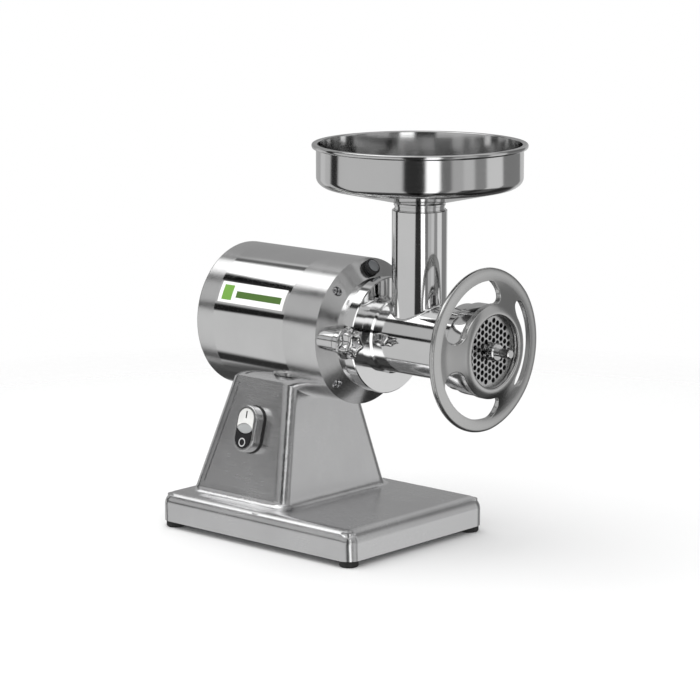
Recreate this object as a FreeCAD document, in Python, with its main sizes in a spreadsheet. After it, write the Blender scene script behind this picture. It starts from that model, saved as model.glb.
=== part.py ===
"""Bench meat grinder, size 22, as an assembly of separate pieces (millimetres).

+X points out of the mouth, -Y is the side with the switch and +Z is up. The origin is on
the bench, under the middle of the machine's outer box. All turning pieces share the motor
axis, except the layshaft above it.
"""
import FreeCAD, Part
import math
import os

import Sketcher
from FreeCAD import Placement, Rotation, Vector

# ---------------------------------------------------------------------------------------
# Driving sizes: name, number, meaning
# ---------------------------------------------------------------------------------------
SIZES = [
    # base casting
    ("base_rear_x", -205.0, "rear face of the base plinth"),
    ("base_length", 286.0, "length of the plinth"),
    ("base_width", 227.0, "width of the plinth"),
    ("foot_height", 7.5, "height of the rubber feet"),
    ("plinth_height", 32.7, "height of the plinth above its rim"),
    ("plinth_corner", 15.0, "radius of the plinth's upright corners"),
    ("plinth_round", 14.5, "radius of the plinth's top edge"),
    ("base_wall", 6.0, "wall of the base casting"),
    ("pedestal_rear_x", -182.3, "pedestal's rear face at the plinth"),
    ("pedestal_front_x", -40.5, "pedestal's front face at the plinth"),
    ("pedestal_half", 87.8, "pedestal's half width at the plinth"),
    ("pedestal_tilt", 8.0, "slope of the pedestal's front, degrees"),
    ("pedestal_side_tilt", 14.4, "slope of the pedestal's sides, degrees"),
    ("pedestal_rear_tilt", 13.8, "slope of the pedestal's rear, degrees"),
    ("pedestal_corner", 13.0, "corner radius of the pedestal"),
    ("pedestal_foot_round", 10.0, "fillet between pedestal and plinth"),
    ("saddle_floor", 6.9, "metal left between the pedestal's hollow and the motor"),
    ("panel_depth", 1.2, "depth of the sunk switch panel"),
    ("panel_margin", 15.0, "edge left around the sunk panel"),
    ("foot_radius", 10.5, "radius of a rubber foot"),
    ("foot_inset", 13.0, "feet centres in from the plinth's sides"),
    ("cover_sheet", 1.5, "thickness of the bottom cover"),
    # motor
    ("axis_height", 232.2, "height of the motor axis"),
    ("motor_radius", 80.2, "outer radius of the motor casings"),
    ("casing_wall", 5.0, "wall of the motor casing"),
    ("motor_rear_x", -177.0, "rear face of the motor"),
    ("rear_cover_length", 25.9, "length of the rear cover"),
    ("casing_length", 104.4, "length of the middle casing"),
    ("housing_length", 48.2, "length of the gear housing's round part"),
    ("cone_length", 12.0, "length of the gear housing's cone"),
    ("boss_radius", 60.0, "radius of the housing's front boss"),
    ("boss_length", 11.5, "length of the front boss"),
    ("nose_radius", 31.0, "radius of the nose that enters the barrel"),
    ("nose_length", 18.5, "length of the nose"),
    ("stator_length", 60.0, "length of the stator core"),
    ("stator_bore", 38.5, "bore radius of the stator"),
    ("air_gap", 0.5, "gap between rotor and stator"),
    ("winding_length", 12.0, "length of a winding head"),
    # gear train
    ("gear_module", 1.25, "module of all gears"),
    ("motor_pinion_teeth", 14, "teeth of the motor pinion"),
    ("lay_gear_teeth", 42, "teeth of the large layshaft gear"),
    ("lay_pinion_teeth", 16, "teeth of the layshaft pinion"),
    ("output_gear_teeth", 40, "teeth of the output gear"),
    ("backlash", 0.12, "play between tooth flanks at the pitch circle"),
    ("first_stage_width", 14.0, "face width of the first gear pair"),
    ("second_stage_width", 18.0, "face width of the second gear pair"),
    ("gearbox_plate_thickness", 12.0, "thickness of the gearbox plate"),
    ("shaft_radius", 12.5, "radius of the drive shaft"),
    ("rotor_shaft_radius", 7.5, "radius of the rotor shaft"),
    ("lay_shaft_radius", 6.0, "radius of the layshaft"),
    ("running_gap", 0.3, "clearance between turning and fixed faces"),
    ("screw_clearance", 0.2, "clearance of a hole round its screw"),
    # barrel and cutting set
    ("flange_radius", 63.5, "radius of the barrel's rear flange"),
    ("flange_length", 13.5, "thickness of the barrel's rear flange"),
    ("barrel_radius", 39.0, "outer radius of the barrel"),
    ("barrel_bore", 33.0, "bore radius of the barrel"),
    ("collar_radius", 46.5, "outer radius of the threaded mouth"),
    ("collar_length", 34.0, "length of the threaded mouth"),
    ("mouth_x", 175.5, "front face of the barrel"),
    ("tube_x", 79.0, "axis of the feed tube"),
    ("tube_radius", 29.5, "outer radius of the feed tube"),
    ("tube_wall", 3.0, "wall of the feed tube"),
    ("tube_top", 372.4, "top of the feed tube"),
    ("plate_radius", 41.0, "radius of the perforated plate"),
    ("plate_thickness", 12.0, "thickness of the perforated plate"),
    ("plate_proud", 1.0, "plate's stand-out from the barrel's mouth"),
    ("plate_hole_radius", 2.8, "radius of the plate's holes"),
    ("plate_hole_pitch", 7.1, "distance between the plate's holes"),
    ("knife_radius", 38.0, "swing radius of the knife"),
    ("knife_thickness", 8.0, "thickness of the knife"),
    ("seat_square", 20.0, "square seat of the knife on the auger"),
    ("pin_radius", 9.5, "radius of the auger's front pin"),
    ("tip_radius", 5.0, "radius of the pin's tip"),
    ("tip_x", 205.0, "end of the auger's front pin"),
    ("flight_pitch", 30.0, "pitch of the auger's flight"),
    # handwheel
    ("wheel_radius", 87.6, "radius of the handwheel"),
    ("wheel_rim_x", 171.2, "front plane of the handwheel's rim"),
    ("wheel_rim_thickness", 6.0, "thickness of the handwheel's rim"),
    ("hub_front_x", 184.5, "front face of the handwheel's hub"),
    ("hub_bore", 38.5, "opening of the handwheel's lip"),
    ("skirt_radius", 49.0, "outer radius of the threaded skirt"),
    ("skirt_rear_x", 155.0, "rear edge of the threaded skirt"),
    ("window_outer", 74.5, "outer radius of the wheel's windows"),
    ("window_inner", 50.0, "inner radius of the wheel's windows"),
    ("window_half_angle", 35.1, "half angle between a window's end centres"),
    # hopper
    ("rim_height", 443.9, "height of the hopper's rim"),
    ("hopper_radius", 110.0, "outer radius of the hopper's wall"),
    ("bead_radius", 2.6, "radius of the rolled rim"),
    ("hopper_wall_foot", 405.0, "height where the wall turns into the floor"),
    ("hopper_floor_round", 7.0, "radius between wall and floor"),
    ("spout_top", 381.0, "height where the floor turns into the spout"),
    ("spout_gap", 0.5, "gap between the spout and the feed tube's bore"),
    ("spout_depth", 27.0, "length of spout inside the feed tube"),
    ("hopper_sheet", 1.5, "sheet thickness of the hopper"),
    # clamps
    ("clamp_y", 68.0, "clamp studs' distance from the middle plane"),
    ("clamp_boss_radius", 11.0, "radius of the clamp bosses"),
    ("stud_radius", 4.0, "radius of a clamp stud"),
    ("stud_end_x", 50.0, "front end of the clamp studs"),
    ("ear_thickness", 6.5, "thickness of the barrel's ears"),
    ("washer_thickness", 2.0, "thickness of the clamp washers"),
    ("knob_radius", 17.5, "radius of the clamp knob's base"),
    ("knob_base", 3.5, "thickness of the clamp knob's base"),
    ("knob_length", 15.0, "length of the clamp knob"),
    # switch
    ("switch_x", -103.8, "middle of the switch along the machine"),
    ("switch_height", 118.0, "height of the switch's middle"),
    ("switch_half_width", 15.0, "half width of the switch bezel"),
    ("switch_half_height", 26.0, "half height of the switch bezel"),
    ("bezel_wall", 3.4, "wall of the switch bezel"),
    ("bezel_depth", 12.0, "stand-out of the bezel from its gasket"),
    ("gasket_thickness", 2.0, "thickness of the switch gasket"),
    ("stem_radius", 11.0, "radius of the switch's threaded stem"),
    ("button_gap", 0.35, "clearance round the buttons"),
    ("button_travel", 3.0, "travel of the buttons"),
    ("lens_radius", 15.5, "radius of the pilot lens's two arcs"),
    # small pieces
    ("plug_radius", 9.0, "radius of the oil plug"),
    ("plug_length", 8.6, "stand-out of the oil plug"),
    ("label_length", 97.0, "length of the blank label"),
    ("label_low", 18.5, "label's lower edge, degrees above level"),
    ("label_high", 35.5, "label's upper edge, degrees above level"),
    ("label_thickness", 0.5, "thickness of the label"),
    ("case_screw_circle", 71.5, "pitch radius of the housing screws"),
    ("case_screw_radius", 2.5, "radius of the housing screws"),
]


# ---------------------------------------------------------------------------------------
# Sizes that know their number and their spreadsheet expression
# ---------------------------------------------------------------------------------------
class Size:
    """A length or angle: its number now and the expression that gives it."""

    def __init__(self, number, text):
        self.number = number
        self.text = text

    def __add__(self, other):
        return combine(self, "+", other)

    def __radd__(self, other):
        return combine(other, "+", self)

    def __sub__(self, other):
        return combine(self, "-", other)

    def __rsub__(self, other):
        return combine(other, "-", self)

    def __mul__(self, other):
        return combine(self, "*", other)

    def __rmul__(self, other):
        return combine(other, "*", self)

    def __truediv__(self, other):
        return combine(self, "/", other)

    def __neg__(self):
        return combine(0.0, "-", self)


def as_size(value):
    """Return the value as a Size; a bare number becomes its own expression."""
    return value if isinstance(value, Size) else Size(float(value), f"({float(value)})")


def combine(left, sign, right):
    """Join two sizes with + - * or /."""
    left, right = as_size(left), as_size(right)
    results = {
        "+": lambda: left.number + right.number,
        "-": lambda: left.number - right.number,
        "*": lambda: left.number * right.number,
        "/": lambda: left.number / right.number,
    }
    return Size(results[sign](), f"({left.text} {sign} {right.text})")


def trig(name, degrees):
    """Sine, cosine or tangent of an angle in degrees."""
    degrees = as_size(degrees)
    number = getattr(math, name)(math.radians(degrees.number))
    return Size(number, f"{name}({degrees.text} * 1deg)")


class SizeTable:
    """The spreadsheet of driving sizes, read as attributes."""

    def __init__(self, document):
        self.sheet = document.addObject("Spreadsheet::Sheet", "Sizes")
        for row, (name, number, meaning) in enumerate(SIZES, start=1):
            self.sheet.set(f"A{row}", name)
            self.sheet.set(f"B{row}", str(number))
            self.sheet.set(f"C{row}", meaning)
            self.sheet.setAlias(f"B{row}", name)
        document.recompute()

    def __getattr__(self, name):
        return Size(float(getattr(self.sheet, name)), f"Sizes.{name}")


DOC = FreeCAD.newDocument("MeatGrinder")
S = SizeTable(DOC)
PIECES = []


# ---------------------------------------------------------------------------------------
# Modelling helpers
# ---------------------------------------------------------------------------------------
def bind(thing, path, value):
    """Set a property through an expression."""
    thing.setExpression(path, as_size(value).text)


def place(thing, x=0.0, y=0.0, z=0.0, turn=None, angle=0.0):
    """Bind the placement of a sub-part; turn is the axis of an optional rotation."""
    x, y, z, angle = (as_size(value) for value in (x, y, z, angle))
    rotation = Rotation(Vector(*turn), angle.number) if turn else Rotation()
    thing.Placement = Placement(Vector(x.number, y.number, z.number), rotation)
    for letter, value in zip("xyz", (x, y, z)):
        bind(thing, f"Placement.Base.{letter}", value)
    if turn:
        bind(thing, "Placement.Rotation.Angle", angle)


def new_body(label, x=0.0, y=0.0, z=0.0, turn=None, angle=0.0):
    """A PartDesign body for one sub-part, or for a set of identical ones."""
    body = DOC.addObject("PartDesign::Body", label)
    body.Label = label
    place(body, x, y, z, turn, angle)
    PIECES.append(body)
    return body


def axis_body(label, lift=0.0):
    """A body whose X axis is the motor axis, or a parallel one above it."""
    return new_body(label, z=S.axis_height + lift)


def new_sketch(body, plane, offset=0.0):
    """A sketch on one of the body's origin planes, moved along its normal."""
    offset = as_size(offset)
    sketch = body.newObject("Sketcher::SketchObject", body.Label + "_sketch")
    support = [item for item in body.Origin.OriginFeatures if item.Role == plane][0]
    sketch.AttachmentSupport = [(support, "")]
    sketch.MapMode = "FlatFace"
    sketch.AttachmentOffset = Placement(Vector(0, 0, offset.number), Rotation())
    bind(sketch, "AttachmentOffset.Base.z", offset)
    return sketch


def arc_between(start, end, radius):
    """An arc of at most a half turn: radius > 0 runs anticlockwise, < 0 clockwise."""
    middle = (start + end) * 0.5
    chord = end - start
    rise = math.sqrt(max(radius * radius - chord.Length ** 2 / 4, 0.0))
    side = Vector(-chord.y, chord.x, 0).normalize() * math.copysign(rise, radius)
    centre = middle + side
    first, last = (start, end) if radius > 0 else (end, start)
    angles = [math.atan2(p.y - centre.y, p.x - centre.x) for p in (first, last)]
    if angles[1] < angles[0]:
        angles[1] += 2 * math.pi
    circle = Part.Circle(centre, Vector(0, 0, 1), abs(radius))
    return Part.ArcOfCircle(circle, *angles)


def outline(sketch, points):
    """Draw a closed outline. A point is (x, y), or (x, y, radius) where an arc follows."""
    points = [tuple(as_size(value) for value in point) for point in points]
    first = sketch.GeometryCount
    count = len(points)
    geometry, arcs = [], {}
    for i, point in enumerate(points):
        after = points[(i + 1) % count]
        start = Vector(point[0].number, point[1].number, 0)
        end = Vector(after[0].number, after[1].number, 0)
        if len(point) == 3:
            arcs[i] = point[2]
            geometry.append(arc_between(start, end, point[2].number))
        else:
            geometry.append(Part.LineSegment(start, end))
    sketch.addGeometry(geometry)

    def ends(i):
        backwards = i in arcs and arcs[i].number < 0
        return (2, 1) if backwards else (1, 2)

    rules, bound = [], []
    for i in range(count):
        j = (i + 1) % count
        rules.append(Sketcher.Constraint("Coincident", first + i, ends(i)[1], first + j, ends(j)[0]))
    for i, point in enumerate(points):
        for kind, value in zip(("DistanceX", "DistanceY"), point):
            bound.append((len(rules), value))
            rules.append(Sketcher.Constraint(kind, -1, 1, first + i, ends(i)[0], value.number))
        if i in arcs:
            radius = arcs[i] if arcs[i].number > 0 else -arcs[i]
            bound.append((len(rules), radius))
            rules.append(Sketcher.Constraint("Radius", first + i, radius.number))
    base = sketch.ConstraintCount
    sketch.addConstraint(rules)
    for index, value in bound:
        if value.text.count("Sizes."):
            bind(sketch, f"Constraints[{base + index}]", value)


def circles(sketch, centres, radius):
    """Draw equal circles at the centres."""
    radius = as_size(radius)
    first = sketch.GeometryCount
    base = sketch.ConstraintCount
    rules, bound = [], []
    for i, centre in enumerate(centres):
        centre = tuple(as_size(value) for value in centre)
        position = Vector(centre[0].number, centre[1].number, 0)
        sketch.addGeometry(Part.Circle(position, Vector(0, 0, 1), radius.number))
        for kind, value in zip(("DistanceX", "DistanceY"), centre):
            bound.append((len(rules), value))
            rules.append(Sketcher.Constraint(kind, -1, 1, first + i, 3, value.number))
        if i:
            rules.append(Sketcher.Constraint("Equal", first, first + i))
        else:
            bound.append((len(rules), radius))
            rules.append(Sketcher.Constraint("Radius", first, radius.number))
    sketch.addConstraint(rules)
    for index, value in bound:
        if value.text.count("Sizes."):
            bind(sketch, f"Constraints[{base + index}]", value)


def rounded_rectangle(x0, x1, y0, y1, corner):
    """The outline of a rectangle with round corners."""
    return [
        (x0 + corner, y0), (x1 - corner, y0, corner),
        (x1, y0 + corner), (x1, y1 - corner, corner),
        (x1 - corner, y1), (x0 + corner, y1, corner),
        (x0, y1 - corner), (x0, y0 + corner, corner),
    ]


def stadium(half_width, half_height):
    """The outline of an upright slot with round ends."""
    centre = half_height - half_width
    return [
        (half_width, -centre), (half_width, centre, half_width),
        (0.0, half_height, half_width), (-half_width, centre),
        (-half_width, -centre, half_width), (0.0, -half_height, half_width),
    ]


def feature(body, kind, sketch, **settings):
    """Add a sketch-based feature and set its plain settings."""
    item = body.newObject(kind, body.Label + "_" + kind.split("::")[1].lower())
    item.Profile = sketch
    for name, value in settings.items():
        setattr(item, name, value)
    return item


def volume_of(body):
    DOC.recompute()
    return body.Shape.Volume if body.Tip else 0.0


def pad(body, plane, start, length, draw):
    """Raise what draw() puts on a plane, from start, along the plane's normal."""
    sketch = new_sketch(body, plane, start)
    draw(sketch)
    item = feature(body, "PartDesign::Pad", sketch)
    bind(item, "Length", length)
    DOC.recompute()
    return item


def pocket(body, plane, start, length, draw):
    """Cut what draw() puts on a plane, from start, along the plane's normal."""
    before = volume_of(body)
    sketch = new_sketch(body, plane, start)
    draw(sketch)
    item = feature(body, "PartDesign::Pocket", sketch, Reversed=True)
    bind(item, "Length", length)
    if volume_of(body) > before - 0.01:
        raise RuntimeError(f"{body.Label}: a pocket cuts nothing")
    return item


def turned(body, points, cut=False, upright=False):
    """Revolve an outline about the body's X axis, or about its Z axis if upright."""
    before = volume_of(body)
    sketch = new_sketch(body, "XZ_Plane")
    outline(sketch, points)
    kind = "PartDesign::Groove" if cut else "PartDesign::Revolution"
    item = feature(body, kind, sketch, Angle=360.0)
    item.ReferenceAxis = (sketch, ["V_Axis" if upright else "H_Axis"])
    after = volume_of(body)
    if cut and after > before - 0.01:
        raise RuntimeError(f"{body.Label}: a groove cuts nothing")
    return item


def ring(body, x0, x1, outer, inner, cut=False):
    """A ring about the X axis, or a groove of that shape."""
    return turned(body, [(x0, inner), (x1, inner), (x1, outer), (x0, outer)], cut)


def rod(body, x0, x1, radius):
    """A round rod along the X axis."""
    return ring(body, x0, x1, radius, 0.0)


def soften(body, kind, size, wanted):
    """Fillet or chamfer the edges that wanted(edge) picks."""
    DOC.recompute()
    tip = body.Tip
    names = [f"Edge{i}" for i, edge in enumerate(tip.Shape.Edges, start=1) if wanted(edge)]
    if not names:
        raise RuntimeError(f"{body.Label}: no edge to soften")
    item = body.newObject("PartDesign::" + kind, body.Label + "_" + kind.lower())
    item.Base = (tip, names)
    bind(item, "Radius" if kind == "Fillet" else "Size", size)
    DOC.recompute()
    return item


def circle_edge(axis, at, radius):
    """A test for full circles of a radius, in the plane where an axis has a value."""
    at, radius = as_size(at).number, as_size(radius).number

    def wanted(edge):
        curve = edge.Curve
        return (
            isinstance(curve, Part.Circle)
            and abs(curve.Radius - radius) < 1e-3
            and abs(getattr(curve.Center, axis) - at) < 1e-3
            and abs(abs(getattr(curve.Axis, axis)) - 1) < 1e-6
        )
    return wanted


def any_of(*tests):
    return lambda edge: any(test(edge) for test in tests)


def around(radius, count, first):
    """Centres spaced evenly on a circle, the first at an angle in degrees."""
    return [
        (radius * trig("cos", first + 360.0 / count * i), radius * trig("sin", first + 360.0 / count * i))
        for i in range(count)
    ]


# ---------------------------------------------------------------------------------------
# Stations along the machine, worked out from the driving sizes
# ---------------------------------------------------------------------------------------
BASE_FRONT = S.base_rear_x + S.base_length
PLINTH_TOP = S.foot_height + S.plinth_height
PEDESTAL_CEILING = S.axis_height - S.motor_radius - S.saddle_floor
CASING_REAR = S.motor_rear_x + S.rear_cover_length
CASING_FRONT = CASING_REAR + S.casing_length
HOUSING_FRONT = CASING_FRONT + S.housing_length
CONE_FRONT = HOUSING_FRONT + S.cone_length
BOSS_FRONT = CONE_FRONT + S.boss_length
NOSE_FRONT = BOSS_FRONT + S.nose_length
FLANGE_FRONT = BOSS_FRONT + S.flange_length
PLATE_FRONT = S.mouth_x + S.plate_proud
PLATE_REAR = PLATE_FRONT - S.plate_thickness
KNIFE_REAR = PLATE_REAR - S.knife_thickness
AUGER_REAR = NOSE_FRONT + 8.0
COLLAR_REAR = S.mouth_x - S.collar_length
SPOUT_RADIUS = S.tube_radius - S.tube_wall - S.spout_gap
SCREW_HOLE = S.case_screw_radius + S.screw_clearance
REAR_SCREW_CIRCLE = S.motor_radius - 13.6
CENTRE_DISTANCE = S.gear_module * (S.motor_pinion_teeth + S.lay_gear_teeth) / 2
GEARBOX_FRONT = CASING_FRONT + S.gearbox_plate_thickness
FIRST_STAGE = GEARBOX_FRONT + 1.7
SECOND_STAGE = FIRST_STAGE + S.first_stage_width + 2.0
CAVITY_FRONT = SECOND_STAGE + S.second_stage_width + 2.0
CAVITY_RADIUS = 66.0
MAIN_BEARING_REAR = CAVITY_FRONT + 10.0
BEARING_WIDTH = 13.0
LAY_BEARING_WIDTH = 8.0
STATOR_REAR = CASING_REAR + 17.2


def pedestal_section(height, inset):
    """Outline of the pedestal at a height, drawn in from its outside by inset."""
    rise = height - PLINTH_TOP
    side = S.pedestal_half - rise * trig("tan", S.pedestal_side_tilt) - inset
    front = S.pedestal_front_x - rise * trig("tan", S.pedestal_tilt) - inset
    rear = S.pedestal_rear_x + rise * trig("tan", S.pedestal_rear_tilt) + inset
    corner = S.pedestal_corner - inset * 0.8
    return rounded_rectangle(rear, front, -side, side, corner)


def loft(body, kind, low, high, inset):
    """Join the pedestal's sections at two heights."""
    sketches = []
    for height in (low, high):
        sketch = new_sketch(body, "XY_Plane", height)
        outline(sketch, pedestal_section(height, inset))
        sketches.append(sketch)
    item = feature(body, kind, sketches[0], Sections=[sketches[1]])
    DOC.recompute()
    return item


def feet_centres():
    """The four corners where the feet and their lugs stand."""
    rear, front = S.base_rear_x + S.foot_inset, BASE_FRONT - S.foot_inset
    side = S.base_width / 2 - S.foot_inset
    return [(x, y) for x in (rear, front) for y in (-side, side)]


def cover_screw_centres():
    """The two lugs at the middle of the plinth's long sides."""
    side = S.base_width / 2 - S.foot_inset
    middle = S.base_rear_x + S.base_length / 2
    return [(middle, -side), (middle, side)]


def saddle_bolt_centres():
    return [(S.switch_x + x, y) for x in (-10.0, 30.0) for y in (-25.0, 25.0)]


def saddle_bolt_top():
    """End of the saddle bolts, below the motor axis and short of the stator."""
    return S.casing_wall + 3.2 - S.motor_radius


def panel_plane(body, outward):
    """A sketch on the pedestal's -Y face, moved outward from it.

    Its X runs along the machine and its Y runs up the sloping face from the plinth's top.
    """
    slope = S.pedestal_side_tilt
    outward = as_size(outward)
    sketch = new_sketch(body, "XZ_Plane")
    y = S.pedestal_half + outward * trig("cos", slope)
    z = PLINTH_TOP + outward * trig("sin", slope)
    tilt = Rotation(Vector(1, 0, 0), -slope.number)
    sketch.AttachmentOffset = Placement(Vector(0, z.number, y.number), tilt)
    bind(sketch, "AttachmentOffset.Base.y", z)
    bind(sketch, "AttachmentOffset.Base.z", y)
    return sketch


# ---------------------------------------------------------------------------------------
# Base
# ---------------------------------------------------------------------------------------
def base_casting():
    """Hollow plinth and pedestal in one casting, with a saddle for the motor."""
    body = new_body("base_casting")
    side = S.base_width / 2
    pad(body, "XY_Plane", S.foot_height, S.plinth_height, lambda sketch: outline(
        sketch, rounded_rectangle(S.base_rear_x, BASE_FRONT, -side, side, S.plinth_corner)))
    top = S.axis_height - 30.0
    loft(body, "PartDesign::AdditiveLoft", PLINTH_TOP, top, 0.0)
    level = PLINTH_TOP.number
    edge_of_top = [S.base_rear_x.number + 1.0, BASE_FRONT.number - 1.0]

    def at_level(edge):
        box = edge.BoundBox
        return abs(box.ZMin - level) < 1e-3 and abs(box.ZMax - level) < 1e-3

    def outer(edge):
        box = edge.BoundBox
        reach = side.number - S.plinth_corner.number
        return (
            box.XMin < edge_of_top[0] or box.XMax > edge_of_top[1]
            or max(abs(box.YMin), abs(box.YMax)) > reach + 1.0
        )
    soften(body, "Fillet", S.pedestal_foot_round, lambda e: at_level(e) and not outer(e))
    soften(body, "Fillet", S.plinth_round, lambda e: at_level(e) and outer(e))

    # sunk panel on the switch side
    low, high = S.pedestal_foot_round + 4.0, S.axis_height - PLINTH_TOP - 62.0
    sketch = panel_plane(body, 0.0)
    rear, front = S.pedestal_rear_x + S.panel_margin, S.pedestal_front_x - S.panel_margin
    rear_slope, front_slope = trig("tan", S.pedestal_rear_tilt), trig("tan", S.pedestal_tilt)
    outline(sketch, [
        (rear + low * rear_slope, low), (front - low * front_slope, low),
        (front - high * front_slope, high), (rear + high * rear_slope, high),
    ])
    before = volume_of(body)
    sunk = feature(body, "PartDesign::Pocket", sketch)
    bind(sunk, "Length", S.panel_depth)
    if volume_of(body) > before - 1.0:
        raise RuntimeError("the switch panel isn't sunk")

    # hollow inside and lugs
    wall = S.base_wall
    bottom = S.foot_height
    pocket(body, "XY_Plane", bottom, S.plinth_height - wall, lambda sketch: outline(
        sketch, rounded_rectangle(S.base_rear_x + wall, BASE_FRONT - wall,
                                  wall - side, side - wall, S.plinth_corner - wall)))
    loft(body, "PartDesign::SubtractiveLoft", PLINTH_TOP - wall, PEDESTAL_CEILING, wall)
    lug_foot = bottom + S.cover_sheet
    lugs = feet_centres() + cover_screw_centres()
    pad(body, "XY_Plane", lug_foot, S.plinth_height - S.cover_sheet - wall / 2,
        lambda sketch: circles(sketch, lugs, 9.0))
    pocket(body, "XY_Plane", lug_foot, 16.0,
           lambda sketch: circles(sketch, lugs, SCREW_HOLE))

    # saddle for the motor, and the holes through it
    saddle = new_sketch(body, "YZ_Plane", S.pedestal_rear_x)
    circles(saddle, [(0.0, S.axis_height)], S.motor_radius)
    cut = feature(body, "PartDesign::Pocket", saddle, Reversed=True)
    bind(cut, "Length", S.pedestal_front_x - S.pedestal_rear_x)
    pocket(body, "XY_Plane", PEDESTAL_CEILING - 5.0, 40.0,
           lambda sketch: circles(sketch, saddle_bolt_centres(), 3.0 + S.screw_clearance))
    pocket(body, "XY_Plane", PEDESTAL_CEILING - 5.0, 40.0,
           lambda sketch: circles(sketch, [(S.switch_x + 10.0, 0.0)], 8.0))

    # hole for the switch's stem, square to the sloping panel
    hole = panel_plane(body, 0.0)
    circles(hole, [(S.switch_x, switch_climb())], S.stem_radius + S.screw_clearance)
    stem = feature(body, "PartDesign::Pocket", hole)
    bind(stem, "Length", S.base_wall + 8.0)

    # flat boss and hole for the cable gland
    gland = [(0.0, gland_height())]
    pad(body, "YZ_Plane", gland_face(), 16.0, lambda sketch: circles(sketch, gland, 14.0))
    pocket(body, "YZ_Plane", gland_face() - 1.0, 30.0,
           lambda sketch: circles(sketch, gland, 8.0 + S.screw_clearance))


def switch_climb():
    """Distance from the plinth's top up the sloping face to the switch."""
    return (S.switch_height - PLINTH_TOP) / trig("cos", S.pedestal_side_tilt)


def gland_height():
    return PLINTH_TOP + 24.0


def gland_face():
    return S.pedestal_rear_x - 4.0


def base_cover():
    """Sheet that closes the plinth from below."""
    body = new_body("base_cover")
    side = S.base_width / 2
    edge = S.base_wall + S.screw_clearance
    pad(body, "XY_Plane", S.foot_height, S.cover_sheet, lambda sketch: outline(
        sketch, rounded_rectangle(S.base_rear_x + edge, BASE_FRONT - edge,
                                  edge - side, side - edge, S.plinth_corner - edge)))
    pocket(body, "XY_Plane", S.foot_height - 1.0, S.cover_sheet + 2.0,
           lambda sketch: circles(sketch, feet_centres() + cover_screw_centres(), SCREW_HOLE))


def rubber_feet():
    """Four rubber feet with a recess for their screws."""
    body = new_body("rubber_feet")
    pad(body, "XY_Plane", 0.0, S.foot_height,
        lambda sketch: circles(sketch, feet_centres(), S.foot_radius))
    soften(body, "Fillet", 1.8, circle_edge("z", 0.0, S.foot_radius))
    pocket(body, "XY_Plane", -1.0, 4.0, lambda sketch: circles(sketch, feet_centres(), 5.5))
    pocket(body, "XY_Plane", 0.0, S.foot_height + 1.0,
           lambda sketch: circles(sketch, feet_centres(), SCREW_HOLE))


def upright_screws(label, centres, seat, head_radius, head_height, shank):
    """Screws that point up, their heads below the seat."""
    body = new_body(label)
    pad(body, "XY_Plane", seat - head_height, head_height,
        lambda sketch: circles(sketch, centres, head_radius))
    pad(body, "XY_Plane", seat, shank,
        lambda sketch: circles(sketch, centres, S.case_screw_radius))
    pocket(body, "XY_Plane", seat - head_height - 1.0, head_height * 0.5 + 1.0,
           lambda sketch: circles(sketch, centres, head_radius * 0.45))


def saddle_bolts():
    """Bolts from inside the pedestal that hold the motor casing down."""
    body = new_body("saddle_bolts")
    seat = PEDESTAL_CEILING
    depth = S.axis_height + saddle_bolt_top() - seat
    pad(body, "XY_Plane", seat - 4.0, 4.0,
        lambda sketch: circles(sketch, saddle_bolt_centres(), 5.0))
    pad(body, "XY_Plane", seat, depth,
        lambda sketch: circles(sketch, saddle_bolt_centres(), 3.0))


def cable_gland():
    """Round gland with its nut: the inlet of the mains lead."""
    body = new_body("cable_gland", z=gland_height())
    face = gland_face()
    turned(body, [
        (face - 14.0, 3.6), (face + 24.0, 3.6), (face + 24.0, 8.0), (face, 8.0), (face, 12.0),
        (face - 6.0, 12.0), (face - 6.0, 10.0), (face - 12.0, 9.0), (face - 14.0, 7.0),
    ])


# ---------------------------------------------------------------------------------------
# Switch, square to the sloping panel
# ---------------------------------------------------------------------------------------
def switch_body(label):
    """A body whose XY plane is the sunk panel and whose Z points out of it."""
    slope = S.pedestal_side_tilt
    sink = S.panel_depth
    rise = switch_climb()
    y = -S.pedestal_half + rise * trig("sin", slope) + sink * trig("cos", slope)
    z = PLINTH_TOP + rise * trig("cos", slope) - sink * trig("sin", slope)
    return new_body(label, S.switch_x, y, z, (1, 0, 0), 90.0 - slope)


def switch_gasket():
    body = switch_body("switch_gasket")
    pad(body, "XY_Plane", 0.0, S.gasket_thickness, lambda sketch: outline(
        sketch, stadium(S.switch_half_width + 0.8, S.switch_half_height + 0.8)))
    pocket(body, "XY_Plane", -1.0, S.gasket_thickness + 2.0,
           lambda sketch: circles(sketch, [(0.0, 0.0)], S.stem_radius + S.screw_clearance))


def switch_bezel():
    """Frame of the switch with its threaded stem."""
    body = switch_body("switch_bezel")
    width, height = S.switch_half_width, S.switch_half_height
    floor = S.gasket_thickness
    pad(body, "XY_Plane", floor, S.bezel_depth, lambda sketch: outline(sketch, stadium(width, height)))
    top = (floor + S.bezel_depth).number

    def top_edge(edge):
        box = edge.BoundBox
        return abs(box.ZMin - top) < 1e-3 and abs(box.ZMax - top) < 1e-3
    soften(body, "Fillet", 1.6, top_edge)
    pocket(body, "XY_Plane", floor + 2.0, S.bezel_depth, lambda sketch: outline(
        sketch, stadium(width - S.bezel_wall, height - S.bezel_wall)))
    pad(body, "XY_Plane", -22.0, 22.0 + floor + 1.0,
        lambda sketch: circles(sketch, [(0.0, 0.0)], S.stem_radius))
    pocket(body, "XY_Plane", -23.0, 30.0, lambda sketch: outline(sketch, stadium(5.0, 9.6)))


def lens_tip(clearance):
    """Height where an arc of the pilot lens meets the side of the switch's well."""
    half = S.switch_half_width - S.bezel_wall - clearance
    radius = S.lens_radius + clearance
    number = math.sqrt(radius.number ** 2 - half.number ** 2)
    return Size(number, f"sqrt({radius.text} * {radius.text} - {half.text} * {half.text})")


def lens_centre():
    """Offset of each arc's centre, so that the lens is 11 high."""
    return S.lens_radius - 5.5


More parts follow.
